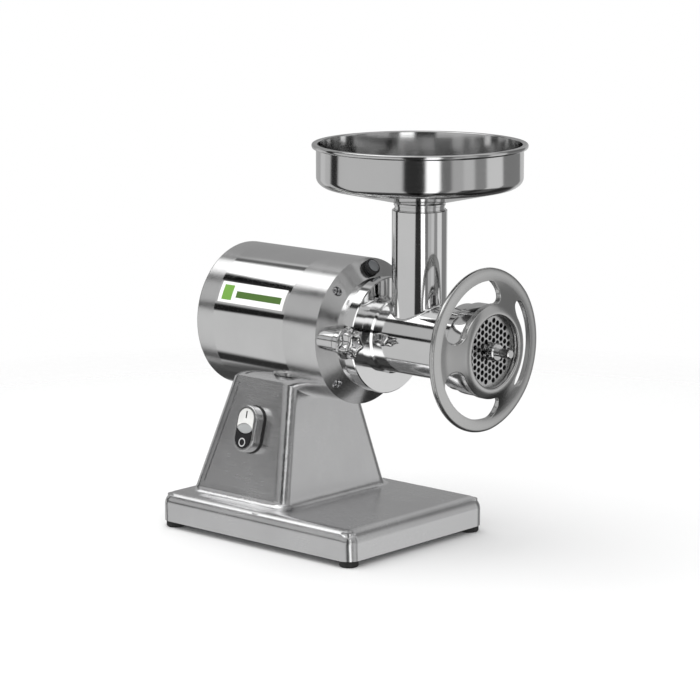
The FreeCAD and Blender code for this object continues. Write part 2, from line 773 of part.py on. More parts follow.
def pilot_lens():
    """Lens between the two buttons."""
    body = switch_body("pilot_lens")
    half = S.switch_half_width - S.bezel_wall
    edge = lens_tip(0.0) - lens_centre()
    base = S.gasket_thickness + 2.0
    height = S.bezel_depth - 2.2
    pad(body, "XY_Plane", base, height, lambda sketch: outline(sketch, [
        (-half, -edge, S.lens_radius), (half, -edge), (half, edge, S.lens_radius), (-half, edge),
    ]))


def button(label, upward):
    """Push button above or below the lens, with the plunger through the stem."""
    body = switch_body(label)
    half = S.switch_half_width - S.bezel_wall - S.button_gap
    round_centre = S.switch_half_height - S.switch_half_width
    edge = lens_tip(S.button_gap) - lens_centre()
    radius = S.lens_radius + S.button_gap
    end = round_centre + half
    points = [
        (half, edge), (half, round_centre, half), (0.0, end, half),
        (-half, round_centre), (-half, edge, -radius),
    ]
    if not upward:
        points = [
            (-half, -edge), (-half, -round_centre, half), (0.0, -end, half),
            (half, -round_centre), (half, -edge, -radius),
        ]
    base = S.gasket_thickness + 2.0 + S.button_travel + 0.6
    top = S.gasket_thickness + S.bezel_depth + (0.4 if upward else 0.8)
    pad(body, "XY_Plane", base, top - base, lambda sketch: outline(sketch, points))
    sign = 1.0 if upward else -1.0
    pad(body, "XY_Plane", -15.0, base + 15.5,
        lambda sketch: circles(sketch, [(0.0, sign * 7.5)], 1.6))


def switch_lock_nut():
    body = switch_body("switch_lock_nut")
    back = S.panel_depth - S.base_wall
    pad(body, "XY_Plane", back - 7.0, 5.0, lambda sketch: circles(sketch, [(0.0, 0.0)], 15.0))
    pocket(body, "XY_Plane", back - 8.0, 8.0, lambda sketch: circles(sketch, [(0.0, 0.0)], S.stem_radius))


def switch_contact_block():
    """Block of contacts behind the switch's stem."""
    body = switch_body("switch_contact_block")
    pad(body, "XY_Plane", -52.0, 30.0, lambda sketch: outline(
        sketch, rounded_rectangle(-15.0, 15.0, -22.0, 22.0, as_size(2.0))))
    soften(body, "Chamfer", 1.0, lambda edge: edge.BoundBox.ZMax < edge_depth(body))


def edge_depth(body):
    return body.Tip.Shape.BoundBox.ZMin + 0.01


# ---------------------------------------------------------------------------------------
# Electrical pieces inside the base
# ---------------------------------------------------------------------------------------
def motor_capacitor():
    body = new_body("motor_capacitor")
    foot = S.foot_height + S.cover_sheet
    centre = [(S.switch_x + 22.0, 30.0)]
    pad(body, "XY_Plane", foot, 88.0, lambda sketch: circles(sketch, centre, 17.0))
    soften(body, "Fillet", 2.0, circle_edge("z", foot + 88.0, 17.0))
    pad(body, "XY_Plane", foot + 88.0, 7.0, lambda sketch: circles(
        sketch, [(S.switch_x + 17.0, 30.0), (S.switch_x + 27.0, 30.0)], 1.5))


def terminal_block():
    """Row of screw terminals on the bottom cover."""
    body = new_body("terminal_block")
    foot = S.foot_height + S.cover_sheet
    start = S.switch_x - 56.0
    pad(body, "XY_Plane", foot, 14.0, lambda sketch: outline(
        sketch, rounded_rectangle(start, start + 52.0, as_size(20.0), as_size(38.0), as_size(1.5))))
    pocket(body, "XY_Plane", foot + 6.0, 10.0, lambda sketch: circles(
        sketch, [(start + 6.5 + 13.0 * i, y) for i in range(4) for y in (24.5, 33.5)], 2.6))


# ---------------------------------------------------------------------------------------
# Motor
# ---------------------------------------------------------------------------------------
def case_screw_centres(radius):
    return around(radius, 4, 45.0)


def rear_cover():
    """Cup that closes the motor, with the rear bearing's seat."""
    body = axis_body("rear_cover")
    wall = 4.0
    rear, front = S.motor_rear_x, CASING_REAR
    inner = S.motor_radius - S.casing_wall
    seat = rear + 6.0
    turned(body, [
        (rear, 0.0), (rear, S.motor_radius), (front, S.motor_radius), (front, inner),
        (rear + wall, inner), (rear + wall, 21.0), (seat + 10.0, 21.0), (seat + 10.0, 16.0),
        (seat, 16.0), (seat, 0.0),
    ])
    soften(body, "Fillet", 2.5, circle_edge("x", rear, S.motor_radius))
    pad(body, "YZ_Plane", rear + 2.0, front - rear - 2.0,
        lambda sketch: circles(sketch, case_screw_centres(REAR_SCREW_CIRCLE), 7.0))
    pocket(body, "YZ_Plane", rear - 1.0, front - rear + 2.0,
           lambda sketch: circles(sketch, case_screw_centres(REAR_SCREW_CIRCLE), SCREW_HOLE))
    pocket(body, "YZ_Plane", rear - 1.0, 5.0,
           lambda sketch: circles(sketch, case_screw_centres(REAR_SCREW_CIRCLE), 4.8))


def motor_casing():
    """Tube round the stator, with lugs for the screws at both ends."""
    body = axis_body("motor_casing")
    inner = S.motor_radius - S.casing_wall
    ring(body, CASING_REAR, CASING_FRONT, S.motor_radius, inner)
    pad(body, "YZ_Plane", CASING_REAR, 12.0,
        lambda sketch: circles(sketch, case_screw_centres(REAR_SCREW_CIRCLE + 3.0), 6.5))
    pad(body, "YZ_Plane", CASING_FRONT - 12.0, 12.0,
        lambda sketch: circles(sketch, case_screw_centres(S.case_screw_circle - 1.5), 6.0))
    pocket(body, "YZ_Plane", CASING_REAR - 1.0, 12.0,
           lambda sketch: circles(sketch, case_screw_centres(REAR_SCREW_CIRCLE), SCREW_HOLE))
    pocket(body, "YZ_Plane", CASING_FRONT - 11.0, 12.0,
           lambda sketch: circles(sketch, case_screw_centres(S.case_screw_circle), SCREW_HOLE))
    under = PEDESTAL_CEILING - S.axis_height
    pocket(body, "XY_Plane", under, 40.0,
           lambda sketch: circles(sketch, [(S.switch_x + 10.0, 0.0)], 8.0))
    pocket(body, "XY_Plane", under, saddle_bolt_top() - under,
           lambda sketch: circles(sketch, saddle_bolt_centres(), as_size(3.0)))


def case_screws(label, centres, seat, length):
    """Socket-head screws along X, their heads at the +X end of the shank."""
    body = axis_body(label)
    pad(body, "YZ_Plane", seat - length, length,
        lambda sketch: circles(sketch, centres, S.case_screw_radius))
    pad(body, "YZ_Plane", seat, 4.0, lambda sketch: circles(sketch, centres, 4.2))
    pocket(body, "YZ_Plane", seat + 1.5, 4.0, lambda sketch: circles(sketch, centres, 2.1))


def rear_cover_screws():
    """The same screws at the motor's rear, heads towards -X."""
    body = axis_body("rear_cover_screws")
    centres = case_screw_centres(REAR_SCREW_CIRCLE)
    seat = S.motor_rear_x + 4.0
    pad(body, "YZ_Plane", seat, S.rear_cover_length - 4.0 + 10.0,
        lambda sketch: circles(sketch, centres, S.case_screw_radius))
    pad(body, "YZ_Plane", seat - 4.0, 4.0, lambda sketch: circles(sketch, centres, 4.2))
    pocket(body, "YZ_Plane", seat - 5.0, 3.5, lambda sketch: circles(sketch, centres, 2.1))


def stator_core():
    """Laminated ring with open slots towards the rotor."""
    body = axis_body("stator_core")
    ring(body, STATOR_REAR, STATOR_REAR + S.stator_length, S.motor_radius - S.casing_wall, S.stator_bore)
    slot_depth = 17.0
    reach = S.stator_bore + slot_depth
    slots = 12

    def draw(sketch):
        outline(sketch, [
            (S.stator_bore - 2.0, -1.2), (S.stator_bore + 2.0, -1.2), (reach, -5.0),
            (reach, 5.0), (S.stator_bore + 2.0, 1.2), (S.stator_bore - 2.0, 1.2),
        ])
    slot = pocket(body, "YZ_Plane", STATOR_REAR - 1.0, S.stator_length + 2.0, draw)
    pattern = body.newObject("PartDesign::PolarPattern", "stator_slots")
    pattern.Originals = [slot]
    pattern.Axis = (slot.Profile[0], ["N_Axis"])
    pattern.Angle = 360.0
    pattern.Occurrences = slots
    body.Tip = pattern
    DOC.recompute()


def stator_windings():
    """Two winding heads, one at each end of the stator."""
    body = axis_body("stator_windings")
    ends = (STATOR_REAR - S.winding_length, STATOR_REAR + S.stator_length)
    for start in ends:
        ring(body, start, start + S.winding_length, 60.0, S.stator_bore + 3.0)
    soften(body, "Fillet", 3.0, any_of(
        circle_edge("x", ends[0], 60.0), circle_edge("x", ends[1] + S.winding_length, 60.0)))


def rotor_core():
    body = axis_body("rotor_core")
    radius = S.stator_bore - S.air_gap
    end_ring = 6.0
    ring(body, STATOR_REAR - end_ring, STATOR_REAR + S.stator_length + end_ring, radius - 3.0, S.rotor_shaft_radius)
    ring(body, STATOR_REAR, STATOR_REAR + S.stator_length, radius, S.rotor_shaft_radius)


def rotor_shaft():
    """Stepped shaft from the rear bearing to the motor pinion."""
    body = axis_body("rotor_shaft")
    rear = S.motor_rear_x + 7.0
    step = FIRST_STAGE
    turned(body, [
        (rear, 0.0), (rear, S.rotor_shaft_radius), (step, S.rotor_shaft_radius), (step, 5.0),
        (step + S.first_stage_width, 5.0), (step + S.first_stage_width, 0.0),
    ])


def cooling_fan():
    """Radial fan between the rear cover and the windings."""
    body = axis_body("cooling_fan")
    start = CASING_REAR - 3.8
    ring(body, start, start + 2.0, 50.0, S.rotor_shaft_radius)
    ring(body, start, start + 7.0, 14.0, S.rotor_shaft_radius)
    blade = pad(body, "YZ_Plane", start, 6.0, lambda sketch: outline(
        sketch, [(18.0, -1.0), (48.0, -1.0), (48.0, 1.0), (18.0, 1.0)]))
    pattern = body.newObject("PartDesign::PolarPattern", "fan_blades")
    pattern.Originals = [blade]
    pattern.Axis = (blade.Profile[0], ["N_Axis"])
    pattern.Angle = 360.0
    pattern.Occurrences = 9
    body.Tip = pattern
    DOC.recompute()


# ---------------------------------------------------------------------------------------
# Bearings: each seat is (start, width, outer radius, bore radius, lift)
# ---------------------------------------------------------------------------------------
def motor_bearing_seats():
    return [
        (S.motor_rear_x + 6.8, as_size(9.0), as_size(16.0), S.rotor_shaft_radius),
        (CASING_FRONT + 1.7, as_size(9.0), as_size(16.0), S.rotor_shaft_radius),
    ]


def lay_bearing_seats():
    return [
        (GEARBOX_FRONT - LAY_BEARING_WIDTH - 1.0, as_size(LAY_BEARING_WIDTH), as_size(14.0), S.lay_shaft_radius),
        (CAVITY_FRONT, as_size(LAY_BEARING_WIDTH), as_size(14.0), S.lay_shaft_radius),
    ]


def output_bearing_seats():
    return [
        (MAIN_BEARING_REAR, as_size(BEARING_WIDTH), as_size(23.5), S.shaft_radius),
        (MAIN_BEARING_REAR + BEARING_WIDTH, as_size(BEARING_WIDTH), as_size(23.5), S.shaft_radius),
    ]


def outer_rings(label, seats, lift=0.0):
    """Outer rings with their grease shields."""
    body = axis_body(label, lift)
    for start, width, outer, bore in seats:
        race = outer - (outer - bore) * 0.3
        shield = bore + (outer - bore) * 0.34
        ring(body, start, start + width, outer, race)
        ring(body, start, start + 0.8, race + 0.5, shield)
        ring(body, start + width - 0.8, start + width, race + 0.5, shield)


def inner_rings(label, seats, lift=0.0):
    body = axis_body(label, lift)
    for start, width, outer, bore in seats:
        ring(body, start, start + width, bore + (outer - bore) * 0.28, bore)


# ---------------------------------------------------------------------------------------
# Gear housing and gears
# ---------------------------------------------------------------------------------------
def gear_housing():
    """Front casting: round part, cone, boss and nose, with the bearing seats."""
    body = axis_body("gear_housing")
    bearing_front = MAIN_BEARING_REAR + 2 * BEARING_WIDTH
    turned(body, [
        (CASING_FRONT, CAVITY_RADIUS), (CASING_FRONT, S.motor_radius),
        (HOUSING_FRONT, S.motor_radius), (CONE_FRONT, S.boss_radius),
        (BOSS_FRONT - 0.8, S.boss_radius), (BOSS_FRONT, S.boss_radius - 0.8),
        (BOSS_FRONT, S.nose_radius), (NOSE_FRONT, S.nose_radius), (NOSE_FRONT, 24.0),
        (bearing_front, 24.0), (bearing_front, 23.5), (MAIN_BEARING_REAR, 23.5),
        (MAIN_BEARING_REAR, 20.5), (CAVITY_FRONT, 20.5), (CAVITY_FRONT, CAVITY_RADIUS),
    ])
    bosses = [(-S.clamp_y, 0.0), (S.clamp_y, 0.0)]
    boss_rear = HOUSING_FRONT - 6.0
    pad(body, "YZ_Plane", boss_rear, BOSS_FRONT - boss_rear - 1.5,
        lambda sketch: circles(sketch, bosses, S.clamp_boss_radius))
    pocket(body, "YZ_Plane", boss_rear + 4.0, BOSS_FRONT - boss_rear,
           lambda sketch: circles(sketch, bosses, S.stud_radius))
    pocket(body, "YZ_Plane", CAVITY_FRONT - 1.0, LAY_BEARING_WIDTH + 1.0,
           lambda sketch: circles(sketch, [(0.0, CENTRE_DISTANCE)], 14.0))
    screws = case_screw_centres(S.case_screw_circle)
    pocket(body, "YZ_Plane", CASING_FRONT - 1.0, S.housing_length + S.cone_length,
           lambda sketch: circles(sketch, screws, SCREW_HOLE))
    pocket(body, "YZ_Plane", screw_seat(), S.cone_length + 8.0,
           lambda sketch: circles(sketch, screws, 5.0))
    # threaded hole for the oil plug, square to the cone
    hole = plug_plane(body, -12.0)
    circles(hole, [(0.0, 0.0)], plug_thread())
    thread = feature(body, "PartDesign::Pocket", hole, Reversed=True)
    bind(thread, "Length", 14.0)
    DOC.recompute()


def screw_seat():
    """Floor of the housing screws' counterbores."""
    return HOUSING_FRONT - 3.0


def plug_thread():
    return S.plug_radius - 2.5


def plug_plane(body, outward):
    """A sketch square to the cone above the axis, moved outward from its surface."""
    fall = S.motor_radius - S.boss_radius
    middle_x = HOUSING_FRONT + S.cone_length * 0.55
    middle_z = S.motor_radius - fall * 0.55
    slant = math.sqrt(S.cone_length.number ** 2 + fall.number ** 2)
    length = Size(slant, f"sqrt({S.cone_length.text} * {S.cone_length.text} + {fall.text} * {fall.text})")
    normal_x, normal_z = fall / length, S.cone_length / length
    angle = math.degrees(math.atan2(normal_x.number, normal_z.number))
    sketch = new_sketch(body, "XY_Plane")
    x, z = middle_x + normal_x * outward, middle_z + normal_z * outward
    sketch.AttachmentOffset = Placement(Vector(x.number, 0, z.number), Rotation(Vector(0, 1, 0), angle))
    bind(sketch, "AttachmentOffset.Base.x", x)
    bind(sketch, "AttachmentOffset.Base.z", z)
    bind(sketch, "AttachmentOffset.Rotation.Angle",
         Size(angle, f"atan2({normal_x.text}; {normal_z.text}) / 1deg"))
    return sketch


def plug_stack(label, layers):
    """Discs on the plug's axis; a layer is (outward, height, radius)."""
    body = axis_body(label)
    for outward, height, radius in layers:
        sketch = plug_plane(body, outward)
        circles(sketch, [(0.0, 0.0)], radius)
        item = feature(body, "PartDesign::Pad", sketch)
        bind(item, "Length", height)
        DOC.recompute()
    return body


def oil_plug_gasket():
    body = plug_stack("oil_plug_gasket", [(0.2, 1.2, S.plug_radius + 0.4)])
    hole = plug_plane(body, -1.0)
    circles(hole, [(0.0, 0.0)], plug_thread() + S.screw_clearance)
    cut = feature(body, "PartDesign::Pocket", hole, Reversed=True)
    bind(cut, "Length", 5.0)
    DOC.recompute()


def oil_plug():
    """Breather plug with a small domed eye."""
    plug_stack("oil_plug", [
        (-8.0, 9.4, plug_thread()), (1.4, S.plug_length - 2.6, S.plug_radius),
        (S.plug_length - 1.2, 1.2, S.plug_radius - 2.3),
    ])


def gearbox_plate():
    """Disc between motor and gears, with a bearing seat on each side."""
    body = axis_body("gearbox_plate")
    radius = CAVITY_RADIUS - 0.05
    ring(body, CASING_FRONT, GEARBOX_FRONT, radius, S.rotor_shaft_radius + 1.5)
    pocket(body, "YZ_Plane", CASING_FRONT - 1.0, 11.7,
           lambda sketch: circles(sketch, [(0.0, 0.0)], 16.0))
    pocket(body, "YZ_Plane", GEARBOX_FRONT - LAY_BEARING_WIDTH - 1.0, LAY_BEARING_WIDTH + 3.0,
           lambda sketch: circles(sketch, [(0.0, CENTRE_DISTANCE)], 14.0))


def involute(angle):
    return math.tan(angle) - angle


def gear_solid(teeth, bore, start, width, tooth_at):
    """A spur gear about the X axis with one tooth centred at tooth_at degrees from +Z."""
    module = S.gear_module.number
    pressure = math.radians(25)
    pitch = module * teeth / 2
    base = pitch * math.cos(pressure)
    tip = pitch + 0.9 * module
    root = pitch - 1.15 * module
    half = math.pi / (2 * teeth) - S.backlash.number / (4 * pitch)

    def spot(radius, angle):
        return Vector(start, radius * math.sin(angle), radius * math.cos(angle))

    def half_angle(radius):
        return half + involute(pressure) - involute(math.acos(min(base / radius, 1.0)))

    low = max(base, root)
    radii = [low + (tip - low) * step / 6 for step in range(7)]
    edges = []
    for tooth in range(teeth):
        centre = math.radians(tooth_at) + 2 * math.pi * tooth / teeth
        following = centre + 2 * math.pi / teeth
        left = [spot(r, centre - half_angle(r)) for r in radii]
        right = [spot(r, centre + half_angle(r)) for r in reversed(radii)]
        for flank in (left, right):
            curve = Part.BSplineCurve()
            curve.interpolate(flank)
            if flank is left and low > root:
                edges.append(Part.LineSegment(spot(root, centre - half_angle(low)), flank[0]).toShape())
            edges.append(curve.toShape())
            if flank is left:
                edges.append(Part.Arc(left[-1], spot(tip, centre), right[0]).toShape())
        foot = centre + half_angle(low)
        if low > root:
            edges.append(Part.LineSegment(right[-1], spot(root, foot)).toShape())
        rise = following - half_angle(low)
        edges.append(Part.Arc(spot(root, foot), spot(root, (foot + rise) / 2), spot(root, rise)).toShape())
    face = Part.Face(Part.Wire(edges))
    solid = face.extrude(Vector(width, 0, 0))
    hole = Part.makeCylinder(bore, width, Vector(start, 0, 0), Vector(1, 0, 0))
    return solid.cut(hole)


def gear(label, teeth, bore, start, width, tooth_at, lift=0.0):
    item = DOC.addObject("Part::Feature", label)
    item.Label = label
    item.Shape = gear_solid(int(teeth.number), bore.number, start.number, width.number, tooth_at)
    item.Placement = Placement(Vector(0, 0, S.axis_height.number + as_size(lift).number), Rotation())
    PIECES.append(item)


def gears():
    """Two stages; in each, a tooth of the small gear stands in a gap of the large one."""
    lay_teeth, out_teeth = S.lay_gear_teeth.number, S.output_gear_teeth.number
    first, second = S.first_stage_width, S.second_stage_width
    gear("motor_pinion", S.motor_pinion_teeth, as_size(5.0), FIRST_STAGE, first, 0.0)
    gear("layshaft_gear", S.lay_gear_teeth, S.lay_shaft_radius, FIRST_STAGE, first,
         180.0 + 180.0 / lay_teeth, CENTRE_DISTANCE)
    gear("layshaft_pinion", S.lay_pinion_teeth, S.lay_shaft_radius, SECOND_STAGE, second,
         180.0, CENTRE_DISTANCE)
    gear("output_gear", S.output_gear_teeth, S.shaft_radius, SECOND_STAGE, second, 180.0 / out_teeth)


def layshaft():
    body = axis_body("layshaft", CENTRE_DISTANCE)
    start = GEARBOX_FRONT - LAY_BEARING_WIDTH - 0.5
    end = CAVITY_FRONT + LAY_BEARING_WIDTH - 0.5
    rod(body, start, end, S.lay_shaft_radius)


def drive_shaft():
    """Output shaft with a square socket for the auger's shank."""
    body = axis_body("drive_shaft")
    front = NOSE_FRONT + 2.0
    collar_rear, collar_front = SECOND_STAGE + S.second_stage_width, MAIN_BEARING_REAR
    turned(body, [
        (SECOND_STAGE, 0.0), (SECOND_STAGE, S.shaft_radius), (collar_rear, S.shaft_radius),
        (collar_rear, 15.0), (collar_front, 15.0), (collar_front, S.shaft_radius),
        (front, S.shaft_radius), (front, 0.0),
    ])
    half = shank_half() + 0.1
    pocket(body, "YZ_Plane", front - 16.0, 17.0, lambda sketch: outline(
        sketch, [(-half, -half), (half, -half), (half, half), (-half, half)]))


def shank_half():
    return S.shaft_radius * 0.55


def shaft_seal():
    """Lip seal in the housing's nose."""
    body = axis_body("shaft_seal")
    start = MAIN_BEARING_REAR + 2 * BEARING_WIDTH
    turned(body, [
        (start + 0.3, 24.0), (start + 0.3, 21.0), (start + 2.0, S.shaft_radius + S.running_gap),
        (start + 4.5, S.shaft_radius + S.running_gap), (start + 4.5, 21.0),
        (NOSE_FRONT - 0.2, 21.0), (NOSE_FRONT - 0.2, 24.0),
    ])


# ---------------------------------------------------------------------------------------
# Barrel and cutting set
# ---------------------------------------------------------------------------------------
def barrel():
    """Barrel with rear flange and ears, feed tube and threaded mouth."""
    body = axis_body("barrel")
    rear, mouth = BOSS_FRONT, S.mouth_x
    turned(body, [
        (rear, 0.0), (rear, S.flange_radius - 1.0), (rear + 1.0, S.flange_radius),
        (FLANGE_FRONT - 1.0, S.flange_radius), (FLANGE_FRONT, S.flange_radius - 1.0),
        (FLANGE_FRONT, S.barrel_radius + 2.0), (FLANGE_FRONT + 6.0, S.barrel_radius + 2.0),
        (FLANGE_FRONT + 8.0, S.barrel_radius), (COLLAR_REAR - 6.0, S.barrel_radius),
        (COLLAR_REAR, S.collar_radius), (mouth - 1.0, S.collar_radius),
        (mouth, S.collar_radius - 1.0), (mouth, 0.0),
    ])
    ears = [(-S.clamp_y, 0.0), (S.clamp_y, 0.0)]
    pocket(body, "YZ_Plane", rear + S.ear_thickness, S.flange_length,
           lambda sketch: circles(sketch, ears, S.knob_radius + 1.0))
    pad(body, "YZ_Plane", rear, S.ear_thickness,
        lambda sketch: circles(sketch, ears, S.clamp_boss_radius + 1.0))
    height = S.tube_top - S.axis_height
    pad(body, "XY_Plane", 0.0, height,
        lambda sketch: circles(sketch, [(S.tube_x, 0.0)], S.tube_radius))
    reach = S.tube_radius.number

    def crotch(edge):
        box = edge.BoundBox
        return (
            box.XMin > S.tube_x.number - reach - 1 and box.XMax < S.tube_x.number + reach + 1
            and box.ZMin > 1 and box.ZMax < S.barrel_radius.number + 4 and box.ZLength > 2
            and box.YLength > 10
        )
    soften(body, "Fillet", 4.0, crotch)
    chamber_rear = NOSE_FRONT + 6.0
    recess_rear = KNIFE_REAR - 0.5
    turned(body, [
        (rear - 1.0, 0.0), (rear - 1.0, S.nose_radius + 0.1), (NOSE_FRONT + 0.5, S.nose_radius + 0.1),
        (NOSE_FRONT + 0.5, 18.0), (chamber_rear, 18.0), (chamber_rear, S.barrel_bore),
        (recess_rear, S.barrel_bore), (recess_rear, S.plate_radius + S.running_gap),
        (mouth + 1.0, S.plate_radius + S.running_gap), (mouth + 1.0, 0.0),
    ], cut=True)
    pocket(body, "XY_Plane", 0.0, height + 1.0,
           lambda sketch: circles(sketch, [(S.tube_x, 0.0)], S.tube_radius - S.tube_wall))
    pocket(body, "YZ_Plane", rear - 1.0, S.ear_thickness + 2.0,
           lambda sketch: circles(sketch, ears, S.stud_radius + S.screw_clearance))
    pocket(body, "XY_Plane", S.plate_radius - 2.0, 4.0,
           lambda sketch: circles(sketch, [(key_x(), 0.0)], 2.0))


def key_x():
    """Station of the pin that keeps the plate from turning."""
    return S.mouth_x - 5.0


def plate_key_pin():
    body = axis_body("plate_key_pin")
    pad(body, "XY_Plane", S.plate_radius - 2.0, 4.0,
        lambda sketch: circles(sketch, [(key_x(), 0.0)], 2.0))


def auger():
    """Feed screw: shank, journal, tapered core with its flight, knife seat and pin."""
    body = axis_body("auger")
    socket_front = NOSE_FRONT + 2.0
    seat = KNIFE_REAR
    plate = PLATE_REAR
    front_pin = PLATE_FRONT + 1.6
    turned(body, [
        (socket_front + 0.5, 0.0), (socket_front + 0.5, 17.0), (AUGER_REAR, 17.0), (AUGER_REAR, 15.0),
        (seat - 5.0, 17.5), (seat - 1.0, 17.5), (seat - 1.0, 15.0), (seat, 15.0),
        (seat, S.pin_radius), (front_pin, S.pin_radius), (front_pin, 7.0), (front_pin + 2.4, 7.0),
        (front_pin + 2.4, S.pin_radius), (front_pin + 8.4, S.pin_radius),
        (front_pin + 9.6, S.pin_radius - 1.2), (front_pin + 9.6, 4.2), (front_pin + 15.0, 4.2),
        (front_pin + 15.0, S.tip_radius), (S.tip_x - 1.0, S.tip_radius),
        (S.tip_x, S.tip_radius - 1.0), (S.tip_x, 0.0),
    ])
    half = shank_half()
    pad(body, "YZ_Plane", socket_front - 14.0, 15.0, lambda sketch: outline(
        sketch, [(-half, -half), (half, -half), (half, half), (-half, half)]))
    square = S.seat_square / 2
    pad(body, "YZ_Plane", seat - 0.5, plate - seat + 0.3, lambda sketch: outline(
        sketch, [(-square, -square), (square, -square), (square, square), (-square, square)]))
    edge = S.barrel_bore - 2 * S.running_gap
    start = AUGER_REAR + 1.0
    flight = new_sketch(body, "XZ_Plane")
    outline(flight, [(start, 12.0), (start + 8.0, 12.0), (start + 5.5, edge), (start + 2.0, edge)])
    screw = feature(body, "PartDesign::AdditiveHelix", flight)
    screw.ReferenceAxis = (flight, ["H_Axis"])
    screw.Mode = 0
    bind(screw, "Pitch", S.flight_pitch)
    bind(screw, "Height", seat - 10.0 - start)
    DOC.recompute()


def knife():
    """Cross knife with four arms that taper to their tips."""
    body = axis_body("knife")
    pad(body, "YZ_Plane", KNIFE_REAR, S.knife_thickness - 0.1,
        lambda sketch: circles(sketch, [(0.0, 0.0)], 19.0))
    arm = pad(body, "YZ_Plane", KNIFE_REAR + 2.0, S.knife_thickness - 2.1, lambda sketch: outline(
        sketch, [(14.0, -9.0), (S.knife_radius - 3.0, -3.0), (S.knife_radius, 4.0), (14.0, 7.0)]))
    pattern = body.newObject("PartDesign::PolarPattern", "knife_arms")
    pattern.Originals = [arm]
    pattern.Axis = (arm.Profile[0], ["N_Axis"])
    pattern.Angle = 360.0
    pattern.Occurrences = 4
    body.Tip = pattern
    DOC.recompute()
    half = S.seat_square / 2 + 0.1
    pocket(body, "YZ_Plane", KNIFE_REAR - 1.0, S.knife_thickness + 2.0, lambda sketch: outline(
        sketch, [(-half, -half), (half, -half), (half, half), (-half, half)]))


def plate_holes():
    """Centres of the plate's holes: one sixth of a hexagonal pattern."""
    centres = []
    for row in range(2, 6):
        for step in range(row):
            if row == 5 and step == 0:
                continue
            x = S.plate_hole_pitch * (row - step * 0.5)
            y = S.plate_hole_pitch * (step * math.sqrt(3) / 2)
            centres.append((y, x))
    return centres


def mincer_plate():
    """Perforated plate with a bore for the pin and a notch for its key."""
    body = axis_body("mincer_plate")
    radius = S.plate_radius
    ring(body, PLATE_REAR, PLATE_FRONT, radius, S.pin_radius + 0.4)
    soften(body, "Chamfer", 0.6, any_of(
        circle_edge("x", PLATE_FRONT, radius), circle_edge("x", PLATE_REAR, radius)))
    hole = pocket(body, "YZ_Plane", PLATE_REAR - 1.0, S.plate_thickness + 2.0,
                  lambda sketch: circles(sketch, plate_holes(), S.plate_hole_radius))
    pattern = body.newObject("PartDesign::PolarPattern", "plate_holes")
    pattern.Originals = [hole]
    pattern.Axis = (hole.Profile[0], ["N_Axis"])
    pattern.Angle = 360.0
    pattern.Occurrences = 6
    body.Tip = pattern
    DOC.recompute()
    half = 2.0 + S.running_gap
    depth = radius - 2.0 - S.running_gap
    pocket(body, "YZ_Plane", PLATE_REAR - 1.0, S.plate_thickness + 2.0, lambda sketch: outline(
        sketch, [(-half, depth), (half, depth), (half, radius + 1.0), (-half, radius + 1.0)]))


def handwheel():
    """Ring nut with a dished wheel: lip over the plate, threaded skirt, three windows."""
    body = axis_body("handwheel")
    thread = S.collar_radius + 0.1
    rim_front, rim_rear = S.wheel_rim_x, S.wheel_rim_x - S.wheel_rim_thickness
    hub = S.hub_front_x
    radius, skirt = S.wheel_radius, S.skirt_radius
    seat = PLATE_FRONT
    turned(body, [
        (S.skirt_rear_x, thread), (S.skirt_rear_x, skirt - 0.6), (S.skirt_rear_x + 0.6, skirt),
        (rim_rear + 4.6, skirt), (rim_rear, radius - 8.0), (rim_rear, radius - 1.5),
        (rim_rear + 1.5, radius), (rim_front - 1.5, radius), (rim_front, radius - 1.5),
        (rim_front, radius - 8.0), (rim_front + 5.0, skirt + 4.0), (hub - 1.6, skirt - 5.5),
        (hub, skirt - 7.5), (hub, S.hub_bore), (seat, S.hub_bore), (seat, thread),
    ])
    ends = (S.window_outer - S.window_inner) / 2
    half = S.window_half_angle

    def window(sketch):
        def spot(distance, angle):
            return (distance * trig("cos", angle), distance * trig("sin", angle))
        middle = (S.window_outer + S.window_inner) / 2
        spread = 57.29578 * ends / middle
        low_end = spot(middle, -half - spread)
        high_end = spot(middle, half + spread)
        outline(sketch, [
            (*spot(S.window_outer, -half), S.window_outer), (*spot(S.window_outer, half), ends),
            (*high_end, ends), (*spot(S.window_inner, half), -S.window_inner),
            (*spot(S.window_inner, -half), ends), (*low_end, ends),
        ])
    cut = pocket(body, "YZ_Plane", S.skirt_rear_x, hub - S.skirt_rear_x + 1.0, window)
    pattern = body.newObject("PartDesign::PolarPattern", "wheel_windows")
    pattern.Originals = [cut]
    pattern.Axis = (cut.Profile[0], ["N_Axis"])
    pattern.Angle = 360.0
    pattern.Occurrences = 3
    body.Tip = pattern
    DOC.recompute()


# ---------------------------------------------------------------------------------------
# Hopper
# ---------------------------------------------------------------------------------------
def hopper():
    """Pan of sheet metal with a rolled rim, a sloping floor and a spout."""
    body = new_body("hopper", x=S.tube_x)
    outer, sheet = S.hopper_radius, S.hopper_sheet
    inner = outer - sheet
    rim = S.rim_height
    bead = S.bead_radius
    spout, bore = SPOUT_RADIUS, SPOUT_RADIUS - sheet
    bottom = S.tube_top - S.spout_depth
    fold = S.hopper_floor_round
    foot = S.hopper_wall_foot
    stop = S.tube_top + 0.3
    turned(body, [
        (bore, bottom), (spout, bottom), (spout, stop), (spout + 2.4, stop),
        (spout + 2.4, stop + 2.0), (spout, stop + 3.0), (spout, S.spout_top),
        (outer - fold, foot - fold * 0.9, fold * 1.05), (outer, foot),
        (outer, rim - 2 * bead), (outer + bead, rim - 2 * bead, bead), (outer + bead, rim),
        (inner, rim), (inner, foot, -(fold * 1.05 - sheet)),
        (outer - fold - 0.4, foot - fold * 0.9 + sheet), (bore, S.spout_top + sheet),
    ], upright=True)


